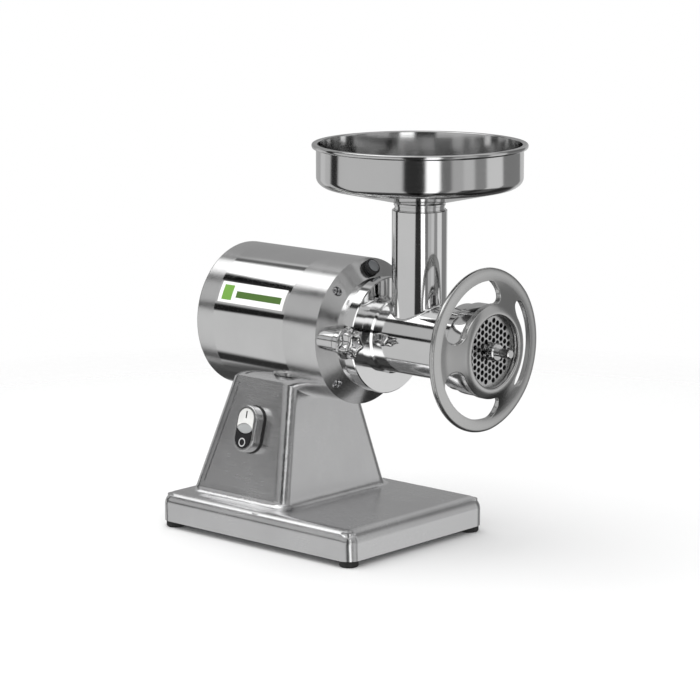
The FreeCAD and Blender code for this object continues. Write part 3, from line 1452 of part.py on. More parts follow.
# ---------------------------------------------------------------------------------------
# Clamps
# ---------------------------------------------------------------------------------------
def clamp_studs():
    body = axis_body("clamp_studs")
    sides = [(-S.clamp_y, 0.0), (S.clamp_y, 0.0)]
    start = HOUSING_FRONT - 2.0
    pad(body, "YZ_Plane", start, S.stud_end_x - start, lambda sketch: circles(sketch, sides, S.stud_radius))
    soften(body, "Chamfer", 0.8, circle_edge("x", S.stud_end_x, S.stud_radius))


def clamp_washer(label, side):
    body = new_body(label, y=side * S.clamp_y, z=S.axis_height)
    start = BOSS_FRONT + S.ear_thickness
    ring(body, start, start + S.washer_thickness, 10.0, S.stud_radius + S.running_gap)


def clamp_knob(label, side):
    """Round base with a faceted grip of five lobes."""
    body = new_body(label, y=side * S.clamp_y, z=S.axis_height)
    start = BOSS_FRONT + S.ear_thickness + S.washer_thickness
    radius = S.knob_radius
    turned(body, [
        (start, 0.0), (start, 9.0), (start + 1.5, radius), (start + S.knob_base, radius),
        (start + S.knob_base + 1.5, radius - 3.0), (start + S.knob_base + 1.5, 0.0),
    ])

    def grip(sketch):
        reach = radius - 1.5
        points = []
        for lobe in range(5):
            for turn, distance in ((-16.0, reach), (16.0, reach), (36.0, radius * 0.66)):
                angle = 72.0 * lobe + turn
                points.append((distance * trig("cos", angle), distance * trig("sin", angle)))
        outline(sketch, points)
    pad(body, "YZ_Plane", start + S.knob_base, S.knob_length - S.knob_base, grip)
    front = (start + S.knob_length).number

    def front_edge(edge):
        box = edge.BoundBox
        return abs(box.XMin - front) < 1e-3 and abs(box.XMax - front) < 1e-3
    soften(body, "Chamfer", 1.5, front_edge)
    pocket(body, "YZ_Plane", start - 1.0, S.knob_length + 2.0,
           lambda sketch: circles(sketch, [(0.0, 0.0)], S.stud_radius + S.running_gap))


def label_plate():
    """Thin blank plate bent to the casing."""
    body = axis_body("label_plate")
    start = CASING_REAR + 3.5
    inner, outer = S.motor_radius, S.motor_radius + S.label_thickness

    def spot(radius, angle):
        return (-radius * trig("cos", angle), radius * trig("sin", angle))
    low, high = S.label_low, S.label_high
    pad(body, "YZ_Plane", start, S.label_length, lambda sketch: outline(sketch, [
        (*spot(inner, low), -inner), spot(inner, high), (*spot(outer, high), outer), spot(outer, low),
    ]))


# ---------------------------------------------------------------------------------------
# Build, check and write
# ---------------------------------------------------------------------------------------
def build():
    base_casting()
    base_cover()
    rubber_feet()
    upright_screws("foot_screws", feet_centres(), as_size(3.0), 4.6, as_size(2.4), 17.0)
    upright_screws("cover_screws", cover_screw_centres(), S.foot_height, 4.6, as_size(2.4), 12.0)
    saddle_bolts()
    cable_gland()
    motor_capacitor()
    terminal_block()
    switch_gasket()
    switch_bezel()
    pilot_lens()
    button("start_button", True)
    button("stop_button", False)
    switch_lock_nut()
    switch_contact_block()
    rear_cover()
    motor_casing()
    rear_cover_screws()
    case_screws("housing_screws", case_screw_centres(S.case_screw_circle), screw_seat(),
                S.housing_length - 3.0 + 10.0)
    stator_core()
    stator_windings()
    rotor_core()
    rotor_shaft()
    cooling_fan()
    outer_rings("motor_bearing_outer_rings", motor_bearing_seats())
    inner_rings("motor_bearing_inner_rings", motor_bearing_seats())
    gear_housing()
    gearbox_plate()
    gears()
    layshaft()
    outer_rings("layshaft_bearing_outer_rings", lay_bearing_seats(), CENTRE_DISTANCE)
    inner_rings("layshaft_bearing_inner_rings", lay_bearing_seats(), CENTRE_DISTANCE)
    drive_shaft()
    outer_rings("output_bearing_outer_rings", output_bearing_seats())
    inner_rings("output_bearing_inner_rings", output_bearing_seats())
    shaft_seal()
    oil_plug_gasket()
    oil_plug()
    label_plate()
    barrel()
    plate_key_pin()
    auger()
    knife()
    mincer_plate()
    handwheel()
    hopper()
    clamp_studs()
    for name, side in (("left", -1.0), ("right", 1.0)):
        clamp_washer("clamp_washer_" + name, side)
        clamp_knob("clamp_knob_" + name, side)


def faults():
    """Every failed object and every shape that can't be written."""
    DOC.recompute()
    found = []
    for item in DOC.Objects:
        if "Invalid" in item.State or "Error" in item.State:
            found.append(f"{item.Label}: {item.State}")
    for piece in PIECES:
        if piece.Shape.isNull() or not piece.Shape.isValid() or not piece.Shape.Solids:
            found.append(f"{piece.Label}: shape not usable")
    return found


build()
problems = faults()
if problems:
    raise RuntimeError("; ".join(problems))
os.makedirs("parts", exist_ok=True)
for piece in PIECES:
    piece.Shape.exportStep(f"parts/{piece.Label}.step")
print(len(PIECES), "pieces written")
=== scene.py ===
import math

import bmesh
import bpy
from bpy.props import FloatProperty, FloatVectorProperty, IntProperty, PointerProperty
from mathutils import Matrix, Vector


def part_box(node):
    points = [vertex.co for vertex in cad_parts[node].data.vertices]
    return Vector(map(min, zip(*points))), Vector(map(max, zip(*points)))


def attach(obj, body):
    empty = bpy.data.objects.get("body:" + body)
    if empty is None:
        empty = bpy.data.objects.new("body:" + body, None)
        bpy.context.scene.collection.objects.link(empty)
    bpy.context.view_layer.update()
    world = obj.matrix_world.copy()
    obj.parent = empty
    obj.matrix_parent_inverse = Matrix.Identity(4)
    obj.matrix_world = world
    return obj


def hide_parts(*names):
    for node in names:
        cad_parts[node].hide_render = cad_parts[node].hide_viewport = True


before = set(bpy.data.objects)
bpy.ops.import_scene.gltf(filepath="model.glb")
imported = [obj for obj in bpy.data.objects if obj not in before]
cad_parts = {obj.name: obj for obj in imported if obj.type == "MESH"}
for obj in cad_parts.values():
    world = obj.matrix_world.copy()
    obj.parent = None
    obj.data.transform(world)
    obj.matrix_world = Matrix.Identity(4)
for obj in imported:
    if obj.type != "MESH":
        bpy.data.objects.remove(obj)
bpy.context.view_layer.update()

bl_info = {
    "name": "Bench Meat Grinder",
    "version": (1, 0, 0),
    "blender": (4, 5, 0),
    "location": "View3D > Sidebar > Grinder",
    "description": "Dresses the packed meat grinder with detailed pieces and finishes",
    "category": "Object",
}

MM = 0.001
MOTOR_LOW, MOTOR_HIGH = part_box("motor_casing")
AXIS_Z = (MOTOR_LOW.z + MOTOR_HIGH.z) / 2
HOPPER_LOW, HOPPER_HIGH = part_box("hopper")
TUBE_X = (HOPPER_LOW.x + HOPPER_HIGH.x) / 2
WHEEL_LOW, WHEEL_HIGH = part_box("handwheel")


# ---------------------------------------------------------------------------------------
# Sizes and colours a user would change
# ---------------------------------------------------------------------------------------
class GrinderFinishSettings(bpy.types.PropertyGroup):
    """Colours and polish of the main surfaces."""

    casting_colour: FloatVectorProperty(
        name="Casting", description="Colour of the polished castings", subtype="COLOR",
        size=3, min=0.0, max=1.0, default=(0.74, 0.74, 0.745))
    casting_roughness: FloatProperty(
        name="Casting Roughness", description="Roughness of the base casting",
        min=0.0, max=1.0, default=0.24)
    steel_colour: FloatVectorProperty(
        name="Steel", description="Colour of the polished steel", subtype="COLOR",
        size=3, min=0.0, max=1.0, default=(0.80, 0.80, 0.80))
    pan_roughness: FloatProperty(
        name="Pan Roughness", description="Roughness of the hopper pan",
        min=0.0, max=1.0, default=0.105)
    satin_colour: FloatVectorProperty(
        name="Satin", description="Colour of the handwheel", subtype="COLOR",
        size=3, min=0.0, max=1.0, default=(0.64, 0.64, 0.635))
    label_colour: FloatVectorProperty(
        name="Label Stripe", description="Colour of the label's stripe", subtype="COLOR",
        size=3, min=0.0, max=1.0, default=(0.16, 0.36, 0.05))


class GrinderShapeSettings(bpy.types.PropertyGroup):
    """Roundings and divisions of the modelled pieces."""

    turned_steps: IntProperty(
        name="Turned Steps", description="Steps round a turned piece", min=48, max=512, default=192)
    wheel_smoothing: IntProperty(
        name="Wheel Smoothing", description="Subdivision levels of the handwheel",
        min=1, max=3, default=2)
    knob_lobe: FloatProperty(
        name="Knob Lobe", description="Height of a clamp knob's lobes",
        unit="LENGTH", subtype="DISTANCE", min=0.0, max=0.004, default=0.0021)
    button_round: FloatProperty(
        name="Button Rounding", description="Rounding of the push buttons",
        unit="LENGTH", subtype="DISTANCE", min=0.0, max=0.002, default=0.0009)


class GrinderStageSettings(bpy.types.PropertyGroup):
    """Camera place, direction and lens."""

    azimuth: FloatProperty(
        name="Azimuth", description="Camera's direction round the machine",
        subtype="ANGLE", default=math.radians(41.78))
    pitch: FloatProperty(
        name="Pitch", description="Camera's height above the horizon",
        subtype="ANGLE", default=math.radians(10.91))
    lens: FloatProperty(
        name="Lens", description="Focal length in millimetres", min=20.0, max=300.0, default=148.1)
    camera_place: FloatVectorProperty(
        name="Camera Place", description="Where the camera stands", subtype="XYZ", size=3,
        default=(2.0427, -2.3088, 0.8049))


# ---------------------------------------------------------------------------------------
# Node helpers
# ---------------------------------------------------------------------------------------
def shader(name):
    """A new material with only its output and a Principled shader."""
    material = bpy.data.materials.new(name)
    material.use_nodes = True
    tree = material.node_tree
    tree.nodes.clear()
    output = tree.nodes.new("ShaderNodeOutputMaterial")
    principled = tree.nodes.new("ShaderNodeBsdfPrincipled")
    tree.links.new(principled.outputs["BSDF"], output.inputs["Surface"])
    return material, tree, principled


def add(tree, kind, links=(), **values):
    """Add a node; links maps its inputs to other nodes' outputs."""
    node = tree.nodes.new(kind)
    for name, value in values.items():
        if hasattr(node, name):
            setattr(node, name, value)
        else:
            node.inputs[name.replace("_", " ")].default_value = value
    for name, source in dict(links).items():
        tree.links.new(source, node.inputs[name])
    return node


def noise(tree, scale, stretch=(1.0, 1.0, 1.0), detail=3.0, roughness=0.55):
    """Noise in object space, stretched along chosen axes."""
    coordinates = add(tree, "ShaderNodeTexCoord")
    mapping = add(tree, "ShaderNodeMapping", {"Vector": coordinates.outputs["Object"]}, Scale=stretch)
    texture = add(tree, "ShaderNodeTexNoise", {"Vector": mapping.outputs["Vector"]},
                  Scale=scale, Detail=detail, Roughness=roughness)
    return texture.outputs["Fac"]


def spread(tree, source, low, high, from_low=0.3, from_high=0.7):
    """Map a factor onto a range of values."""
    node = add(tree, "ShaderNodeMapRange", {"Value": source},
               From_Min=from_low, From_Max=from_high, To_Min=low, To_Max=high)
    return node.outputs["Result"]


def blend_colour(tree, factor, first, second):
    """Mix two colours by a factor."""
    node = tree.nodes.new("ShaderNodeMix")
    node.data_type = "RGBA"
    tree.links.new(factor, node.inputs["Factor"])
    for socket, value in (("A", first), ("B", second)):
        target = [item for item in node.inputs if item.name == socket and item.type == "RGBA"][0]
        if isinstance(value, bpy.types.NodeSocket):
            tree.links.new(value, target)
        else:
            target.default_value = (*value[:3], 1.0)
    return [item for item in node.outputs if item.type == "RGBA"][0]


def tone(colour, factor):
    """The colour made darker or lighter."""
    return tuple(min(1.0, part * factor) for part in colour[:3])


def emboss(tree, principled, height, strength, distance):
    """Raise the surface's shading by a height pattern."""
    bump = add(tree, "ShaderNodeBump", {"Height": height}, Strength=strength, Distance=distance)
    tree.links.new(bump.outputs["Normal"], principled.inputs["Normal"])


def metal(name, colour, roughness, variation=0.04, grain=None, grain_scale=900.0,
          depth=0.02, smudge=26.0, shade=0.07):
    """Metal with smudges and, if grain is given, fine lines stretched along an axis."""
    material, tree, principled = shader(name)
    patches = noise(tree, smudge, detail=4.0)
    lines = noise(tree, grain_scale, grain or (1.0, 1.0, 1.0), detail=2.0)
    both = add(tree, "ShaderNodeMath", {0: patches, 1: lines}, operation="ADD").outputs[0]
    tree.links.new(spread(tree, both, roughness - variation, roughness + variation, 0.7, 1.3),
                   principled.inputs["Roughness"])
    tree.links.new(blend_colour(tree, spread(tree, patches, 0.0, 1.0),
                                tone(colour, 1.0 - shade), tone(colour, 1.0 + shade)),
                   principled.inputs["Base Color"])
    emboss(tree, principled, lines, depth, 0.0004)
    principled.inputs["Metallic"].default_value = 1.0
    return material


def plastic(name, colour, roughness, grain_scale=1400.0, depth=0.06, coat=0.0, specular=0.5):
    """Moulded plastic or rubber with a fine skin and slight unevenness."""
    material, tree, principled = shader(name)
    skin = noise(tree, grain_scale, detail=2.0)
    patches = noise(tree, 60.0, detail=3.0)
    tinted = blend_colour(tree, spread(tree, patches, 0.0, 1.0), tone(colour, 0.9), tone(colour, 1.08))
    tree.links.new(tinted, principled.inputs["Base Color"])
    gloss = spread(tree, patches, roughness - 0.05, roughness + 0.05)
    tree.links.new(gloss, principled.inputs["Roughness"])
    emboss(tree, principled, skin, depth, 0.0003)
    principled.inputs["Coat Weight"].default_value = coat
    principled.inputs["Specular IOR Level"].default_value = specular
    return material


def laminated(name, colour, axis):
    """Stack of thin steel sheets: fine ridges along an axis, darker at the joints between sheets, partly as
    painted shade in their grooves.
    """
    material, tree, principled = shader(name)
    coordinates = add(tree, "ShaderNodeTexCoord")
    waves = add(tree, "ShaderNodeTexWave", {"Vector": coordinates.outputs["Object"]},
                Scale=320.0, Distortion=0.3, bands_direction=axis)
    patches = noise(tree, 45.0)
    # dark joints between sheets, partly painted shade: the colour falls to 60 % in the grooves of the
    # ridges
    tree.links.new(blend_colour(tree, waves.outputs["Fac"], tone(colour, 0.6), colour),
                   principled.inputs["Base Color"])
    tree.links.new(spread(tree, patches, 0.35, 0.55), principled.inputs["Roughness"])
    emboss(tree, principled, waves.outputs["Fac"], 0.3, 0.0004)
    principled.inputs["Metallic"].default_value = 0.9
    return material


def wound(name, colour):
    """Varnished copper wire, with painted shade darkening the grooves between turns."""
    material, tree, principled = shader(name)
    coordinates = add(tree, "ShaderNodeTexCoord")
    waves = add(tree, "ShaderNodeTexWave", {"Vector": coordinates.outputs["Object"]},
                Scale=210.0, Distortion=2.5, bands_direction="X")
    # painted shade: the colour falls to 45 % in the grooves between wire turns and is full on their crests
    tree.links.new(blend_colour(tree, waves.outputs["Fac"], tone(colour, 0.45), colour),
                   principled.inputs["Base Color"])
    emboss(tree, principled, waves.outputs["Fac"], 0.6, 0.0008)
    tree.links.new(spread(tree, noise(tree, 80.0), 0.3, 0.45), principled.inputs["Roughness"])
    principled.inputs["Metallic"].default_value = 0.7
    principled.inputs["Coat Weight"].default_value = 0.4
    return material


def label_finish(name, stripe, low, high):
    """White film with a plain coloured block and a thin rule, placed on the label's own box."""
    material, tree, principled = shader(name)
    coordinates = add(tree, "ShaderNodeTexCoord")
    parts = add(tree, "ShaderNodeSeparateXYZ", {"Vector": coordinates.outputs["Object"]})
    length = high.x - low.x

    def between(output, start, end):
        """1 where the coordinate lies between start and end."""
        above = add(tree, "ShaderNodeMath", {0: parts.outputs[output]}, operation="GREATER_THAN")
        above.inputs[1].default_value = start
        below = add(tree, "ShaderNodeMath", {0: parts.outputs[output]}, operation="LESS_THAN")
        below.inputs[1].default_value = end
        both = add(tree, "ShaderNodeMath", {0: above.outputs[0], 1: below.outputs[0]}, operation="MULTIPLY")
        return both.outputs[0]

    block = between("X", low.x + length * 0.05, low.x + length * 0.20)
    rule = between("X", low.x + length * 0.26, low.x + length * 0.95)
    height = high.z - low.z
    band = between("Z", low.z + height * 0.30, low.z + height * 0.62)
    bar = add(tree, "ShaderNodeMath", {0: rule, 1: band}, operation="MULTIPLY").outputs[0]
    inner = between("Z", low.z + height * 0.14, low.z + height * 0.86)
    square = add(tree, "ShaderNodeMath", {0: block, 1: inner}, operation="MULTIPLY").outputs[0]
    paper = blend_colour(tree, spread(tree, noise(tree, 90.0), 0.0, 1.0),
                         (0.86, 0.86, 0.84), (0.93, 0.93, 0.92))
    with_block = blend_colour(tree, square, paper, stripe)
    with_rule = blend_colour(tree, bar, with_block, tone(stripe, 0.4))
    tree.links.new(with_rule, principled.inputs["Base Color"])
    tree.links.new(spread(tree, noise(tree, 500.0), 0.28, 0.4), principled.inputs["Roughness"])
    principled.inputs["Coat Weight"].default_value = 0.25
    return material


FINISHES = {}


def finish(name):
    """The finish of that name, made once."""
    if name not in FINISHES:
        FINISHES[name] = make_finish(name)
    return FINISHES[name]


def make_finish(name):
    """Make one finish from its recipe; a grain's numbers are small along its lines."""
    settings = bpy.context.scene.grinder_finish
    casting, steel, satin = settings.casting_colour, settings.steel_colour, settings.satin_colour
    rough = settings.casting_roughness
    low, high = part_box("label_plate")
    around_x, along_x, around_z = (1.0, 0.02, 0.02), (0.03, 1.0, 1.0), (0.02, 0.02, 1.0)
    recipes = {
        "base_polish": lambda: metal("Base casting", casting, rough, grain=along_x, grain_scale=1600.0,
            depth=0.012, smudge=16.0, shade=0.05),
        "motor_polish": lambda: metal("Motor casing", steel, 0.07, variation=0.02, grain=around_x,
            grain_scale=1100.0, depth=0.008, smudge=18.0, shade=0.03),
        "cover_polish": lambda: metal("Turned cover", steel, 0.2, variation=0.03, grain=around_x,
            grain_scale=1500.0, depth=0.05, smudge=18.0, shade=0.04),
        "housing_polish": lambda: metal("Gear housing", steel, 0.19, grain=around_x, grain_scale=1500.0,
            depth=0.05, smudge=18.0, shade=0.05),
        "pan_steel": lambda: metal("Spun pan", tone(steel, 0.86), settings.pan_roughness, variation=0.02,
            grain=around_z, smudge=10.0, shade=0.03),
        "barrel_polish": lambda: metal("Polished barrel", steel, 0.08, variation=0.03, grain_scale=70.0,
            depth=0.035, smudge=16.0, shade=0.03),
        "skirt_polish": lambda: metal("Turned skirt", steel, 0.1, variation=0.03, grain=around_x,
            grain_scale=1600.0, depth=0.05, smudge=20.0, shade=0.05),
        "satin_wheel": lambda: metal("Satin wheel", satin, 0.23, variation=0.03, grain_scale=1500.0,
            depth=0.012, smudge=18.0, shade=0.04),
        "plate_steel": lambda: metal("Ground plate", (0.66, 0.66, 0.66), 0.3, variation=0.06,
            grain_scale=800.0, depth=0.06, smudge=60.0, shade=0.06),
        "pin_steel": lambda: metal("Turned pin", (0.62, 0.62, 0.62), 0.16, variation=0.05, grain=around_x,
            grain_scale=1400.0, depth=0.05, smudge=60.0, shade=0.06),
        "screw_steel": lambda: metal("Screw steel", (0.6, 0.6, 0.61), 0.24, variation=0.06,
            grain_scale=1600.0, depth=0.05, smudge=120.0, shade=0.08),
        "zinc_plate": lambda: metal("Zinc-plated sheet", (0.55, 0.56, 0.58), 0.42, variation=0.08,
            grain_scale=90.0, depth=0.05, smudge=40.0, shade=0.1),
        "chrome_knob": lambda: metal("Polished knob", steel, 0.1, grain_scale=500.0, depth=0.05,
            smudge=60.0, shade=0.05),
        "bezel_chrome": lambda: metal("Switch bezel", (0.7, 0.7, 0.7), 0.2, variation=0.05,
            grain_scale=1200.0, depth=0.04, smudge=90.0, shade=0.05),
        "gear_steel": lambda: metal("Oiled gear steel", (0.46, 0.45, 0.43), 0.3, variation=0.08,
            grain=along_x, depth=0.12, smudge=80.0, shade=0.12),
        "shaft_steel": lambda: metal("Ground shaft", (0.6, 0.6, 0.6), 0.2, variation=0.05, grain=around_x,
            grain_scale=1500.0, depth=0.06, smudge=70.0, shade=0.06),
        "bearing_steel": lambda: metal("Bearing steel", (0.68, 0.68, 0.68), 0.14, grain=around_x,
            grain_scale=1800.0, depth=0.04, smudge=90.0, shade=0.04),
        "raw_casting": lambda: metal("Raw casting", (0.5, 0.5, 0.51), 0.5, variation=0.08,
            grain_scale=420.0, depth=0.4, smudge=50.0, shade=0.1),
        "rotor_iron": lambda: laminated("Rotor sheets", (0.3, 0.3, 0.31), "X"),
        "stator_iron": lambda: laminated("Stator sheets", (0.26, 0.26, 0.28), "X"),
        "copper_wire": lambda: wound("Winding wire", (0.72, 0.34, 0.16)),
        "black_rubber": lambda: plastic("Black rubber", (0.018, 0.018, 0.018), 0.55, grain_scale=1100.0,
            depth=0.18),
        "black_plastic": lambda: plastic("Black plastic", (0.014, 0.014, 0.015), 0.24, grain_scale=1800.0,
            depth=0.05, coat=0.15),
        "grey_plastic": lambda: plastic("Grey plastic", (0.16, 0.16, 0.17), 0.42, grain_scale=1300.0,
            depth=0.1),
        "white_plastic": lambda: plastic("White plastic", (0.8, 0.8, 0.78), 0.25, grain_scale=1800.0,
            depth=0.04, coat=0.3),
        "lens_grey": lambda: plastic("Pilot lens", (0.42, 0.43, 0.43), 0.12, grain_scale=700.0, depth=0.12,
            coat=0.6),
        "eye_grey": lambda: plastic("Breather eye", (0.2, 0.21, 0.22), 0.16, grain_scale=500.0, depth=0.25,
            coat=0.8),
        "mark_black": lambda: plastic("Black mark", (0.01, 0.01, 0.01), 0.35, grain_scale=1500.0,
            depth=0.05),
        "mark_grey": lambda: plastic("Grey mark", (0.55, 0.55, 0.55), 0.35, grain_scale=1500.0, depth=0.05),
        "label_film": lambda: label_finish("Label film", settings.label_colour, low, high),
    }
    return recipes[name]()


# ---------------------------------------------------------------------------------------
# Mesh helpers
# ---------------------------------------------------------------------------------------
def add_piece(name, bm, body, finish_name, sharp=32.0, replaces=()):
    """Turn a bmesh into a piece that rides on a body."""
    mesh = bpy.data.meshes.new(name)
    for face in bm.faces:
        face.smooth = True
    for edge in bm.edges:
        edge.smooth = len(edge.link_faces) != 2 or edge.calc_face_angle(0.0) < math.radians(sharp)
    bm.to_mesh(mesh)
    bm.free()
    piece = bpy.data.objects.new(name, mesh)
    bpy.context.scene.collection.objects.link(piece)
    mesh.materials.append(finish(finish_name))
    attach(piece, body)
    if replaces:
        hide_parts(*replaces)
    return piece


def keep_corners(piece):
    """Weight the shading by face size, so that flats stay flat beside roundings."""
    modifier = piece.modifiers.new("Weighted shading", "WEIGHTED_NORMAL")
    modifier.keep_sharp = True
    modifier.weight = 60
    return piece


def round_edges(piece, width, segments=3, angle=40.0):
    """Bevel modifier for the sharp edges of a piece."""
    modifier = piece.modifiers.new("Rounded edges", "BEVEL")
    modifier.width = width
    modifier.segments = segments
    modifier.limit_method = "ANGLE"
    modifier.angle_limit = math.radians(angle)
    modifier.use_clamp_overlap = True
    return piece


def skin(node, body, finish_name, slot, sharp=30.0):
    """Stand a merged, smoothly shaded copy in for a CAD node."""
    bm = bmesh.new()
    bm.from_mesh(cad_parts[node].data)
    bmesh.ops.remove_doubles(bm, verts=bm.verts, dist=0.00002)
    bmesh.ops.dissolve_degenerate(bm, dist=0.00001, edges=bm.edges)
    piece = add_piece(node + "_skin", bm, body, finish_name, sharp, (node,))
    return keep_corners(piece)


def dress(node, finish_name):
    """Give a CAD node its finish."""
    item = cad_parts[node]
    for slot in item.material_slots:
        slot.material = finish(finish_name)


def stand(bm, centre, direction):
    """Turn a shape made along Z to a direction, move it to its centre and point its faces out."""
    turn = Vector((0, 0, 1)).rotation_difference(Vector(direction)).to_matrix().to_4x4()
    bmesh.ops.transform(bm, matrix=Matrix.Translation(Vector(centre)) @ turn, verts=bm.verts)
    bmesh.ops.recalc_face_normals(bm, faces=bm.faces)
    return bm


def lathe(profile, centre, direction, steps=None):
    """Spin a closed profile of (distance from axis, place along axis) points, in millimetres.

    A point's third number is the rounding of that corner.
    """
    steps = steps or bpy.context.scene.grinder_shape.turned_steps
    bm = bmesh.new()
    verts = [bm.verts.new((point[0] * MM, 0.0, point[1] * MM)) for point in profile]
    for first, second in zip(verts, verts[1:] + verts[:1]):
        bm.edges.new((first, second))
    rounded = [(vert, point[2] * MM) for vert, point in zip(verts, profile) if len(point) > 2]
    for vert, size in rounded:
        bmesh.ops.bevel(bm, geom=[vert], offset=size, offset_type="OFFSET", segments=5,
                        profile=0.5, affect="VERTICES", material=-1, clamp_overlap=True)
    bmesh.ops.spin(bm, geom=bm.verts[:] + bm.edges[:], cent=(0, 0, 0), axis=(0, 0, 1),
                   angle=2 * math.pi, steps=steps, use_merge=True, use_duplicate=False)
    bmesh.ops.remove_doubles(bm, verts=bm.verts, dist=0.000004)
    return stand(bm, centre, direction)


def stacked(outline, layers, centre, direction):
    """Raise an outline through layers of (height, scale), in millimetres, and close it."""
    bm = bmesh.new()
    height, scale = layers[0]
    ring = [bm.verts.new((x * MM * scale, y * MM * scale, height * MM)) for x, y in outline]
    edges = [bm.edges.new((first, second)) for first, second in zip(ring, ring[1:] + ring[:1])]
    bm.faces.new(ring)
    for next_height, next_scale in layers[1:]:
        raised = bmesh.ops.extrude_edge_only(bm, edges=edges)["geom"]
        ring = [item for item in raised if isinstance(item, bmesh.types.BMVert)]
        edges = [item for item in raised if isinstance(item, bmesh.types.BMEdge)
                 and all(vert in ring for vert in item.verts)]
        factor = next_scale / scale
        bmesh.ops.scale(bm, vec=(factor, factor, 1.0), verts=ring)
        bmesh.ops.translate(bm, vec=(0, 0, (next_height - height) * MM), verts=ring)
        height, scale = next_height, next_scale
    bmesh.ops.contextual_create(bm, geom=edges)
    return stand(bm, centre, direction)


# ---------------------------------------------------------------------------------------
# Pieces
# ---------------------------------------------------------------------------------------
class GRINDER_OT_hopper(bpy.types.Operator):
    """Turn the hopper pan with its rolled rim and spout"""

    bl_idname = "grinder.hopper"
    bl_label = "Hopper"

    def execute(self, context):
        top, bottom = HOPPER_HIGH.z / MM, HOPPER_LOW.z / MM
        tube_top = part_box("barrel")[1].z / MM
        rim = (HOPPER_HIGH.x - TUBE_X) / MM
        wall, sheet, bead = rim - 5.2, 1.5, 2.6
        foot, neck = tube_top + 32.0, tube_top + 8.8
        bore, spout, collar, groove, shoulder = 24.5, 26.0, 28.0, 26.7, 27.6
        profile = [
            (bore, bottom), (spout, bottom), (spout, tube_top + 0.3), (collar, tube_top + 0.3, 0.4),
            (collar, tube_top + 1.5, 0.4), (groove, tube_top + 1.5), (groove, tube_top + 5.4),
            (shoulder, tube_top + 5.4, 0.3), (shoulder, neck, 1.5),
            (wall - 4.5, foot - 5.8, 5.5), (wall, foot + 1.0, 5.0),
            (wall, top - 2 * bead, 0.7), (rim - bead * 0.5, top - 2 * bead, 1.2), (rim, top - bead, 2.0),
            (rim - bead * 0.5, top, 1.2), (wall - sheet, top - 0.3, 1.2),
            (wall - sheet, foot + 1.6, 4.5), (wall - 5.0 - sheet, foot - 4.0, 5.0), (bore, neck + 1.4, 2.5),
        ]
        bm = lathe(profile, (TUBE_X, 0.0, 0.0), (0, 0, 1), 256)
        add_piece("hopper_pan", bm, "hopper", "pan_steel", 50.0, ("hopper",))
        return {"FINISHED"}


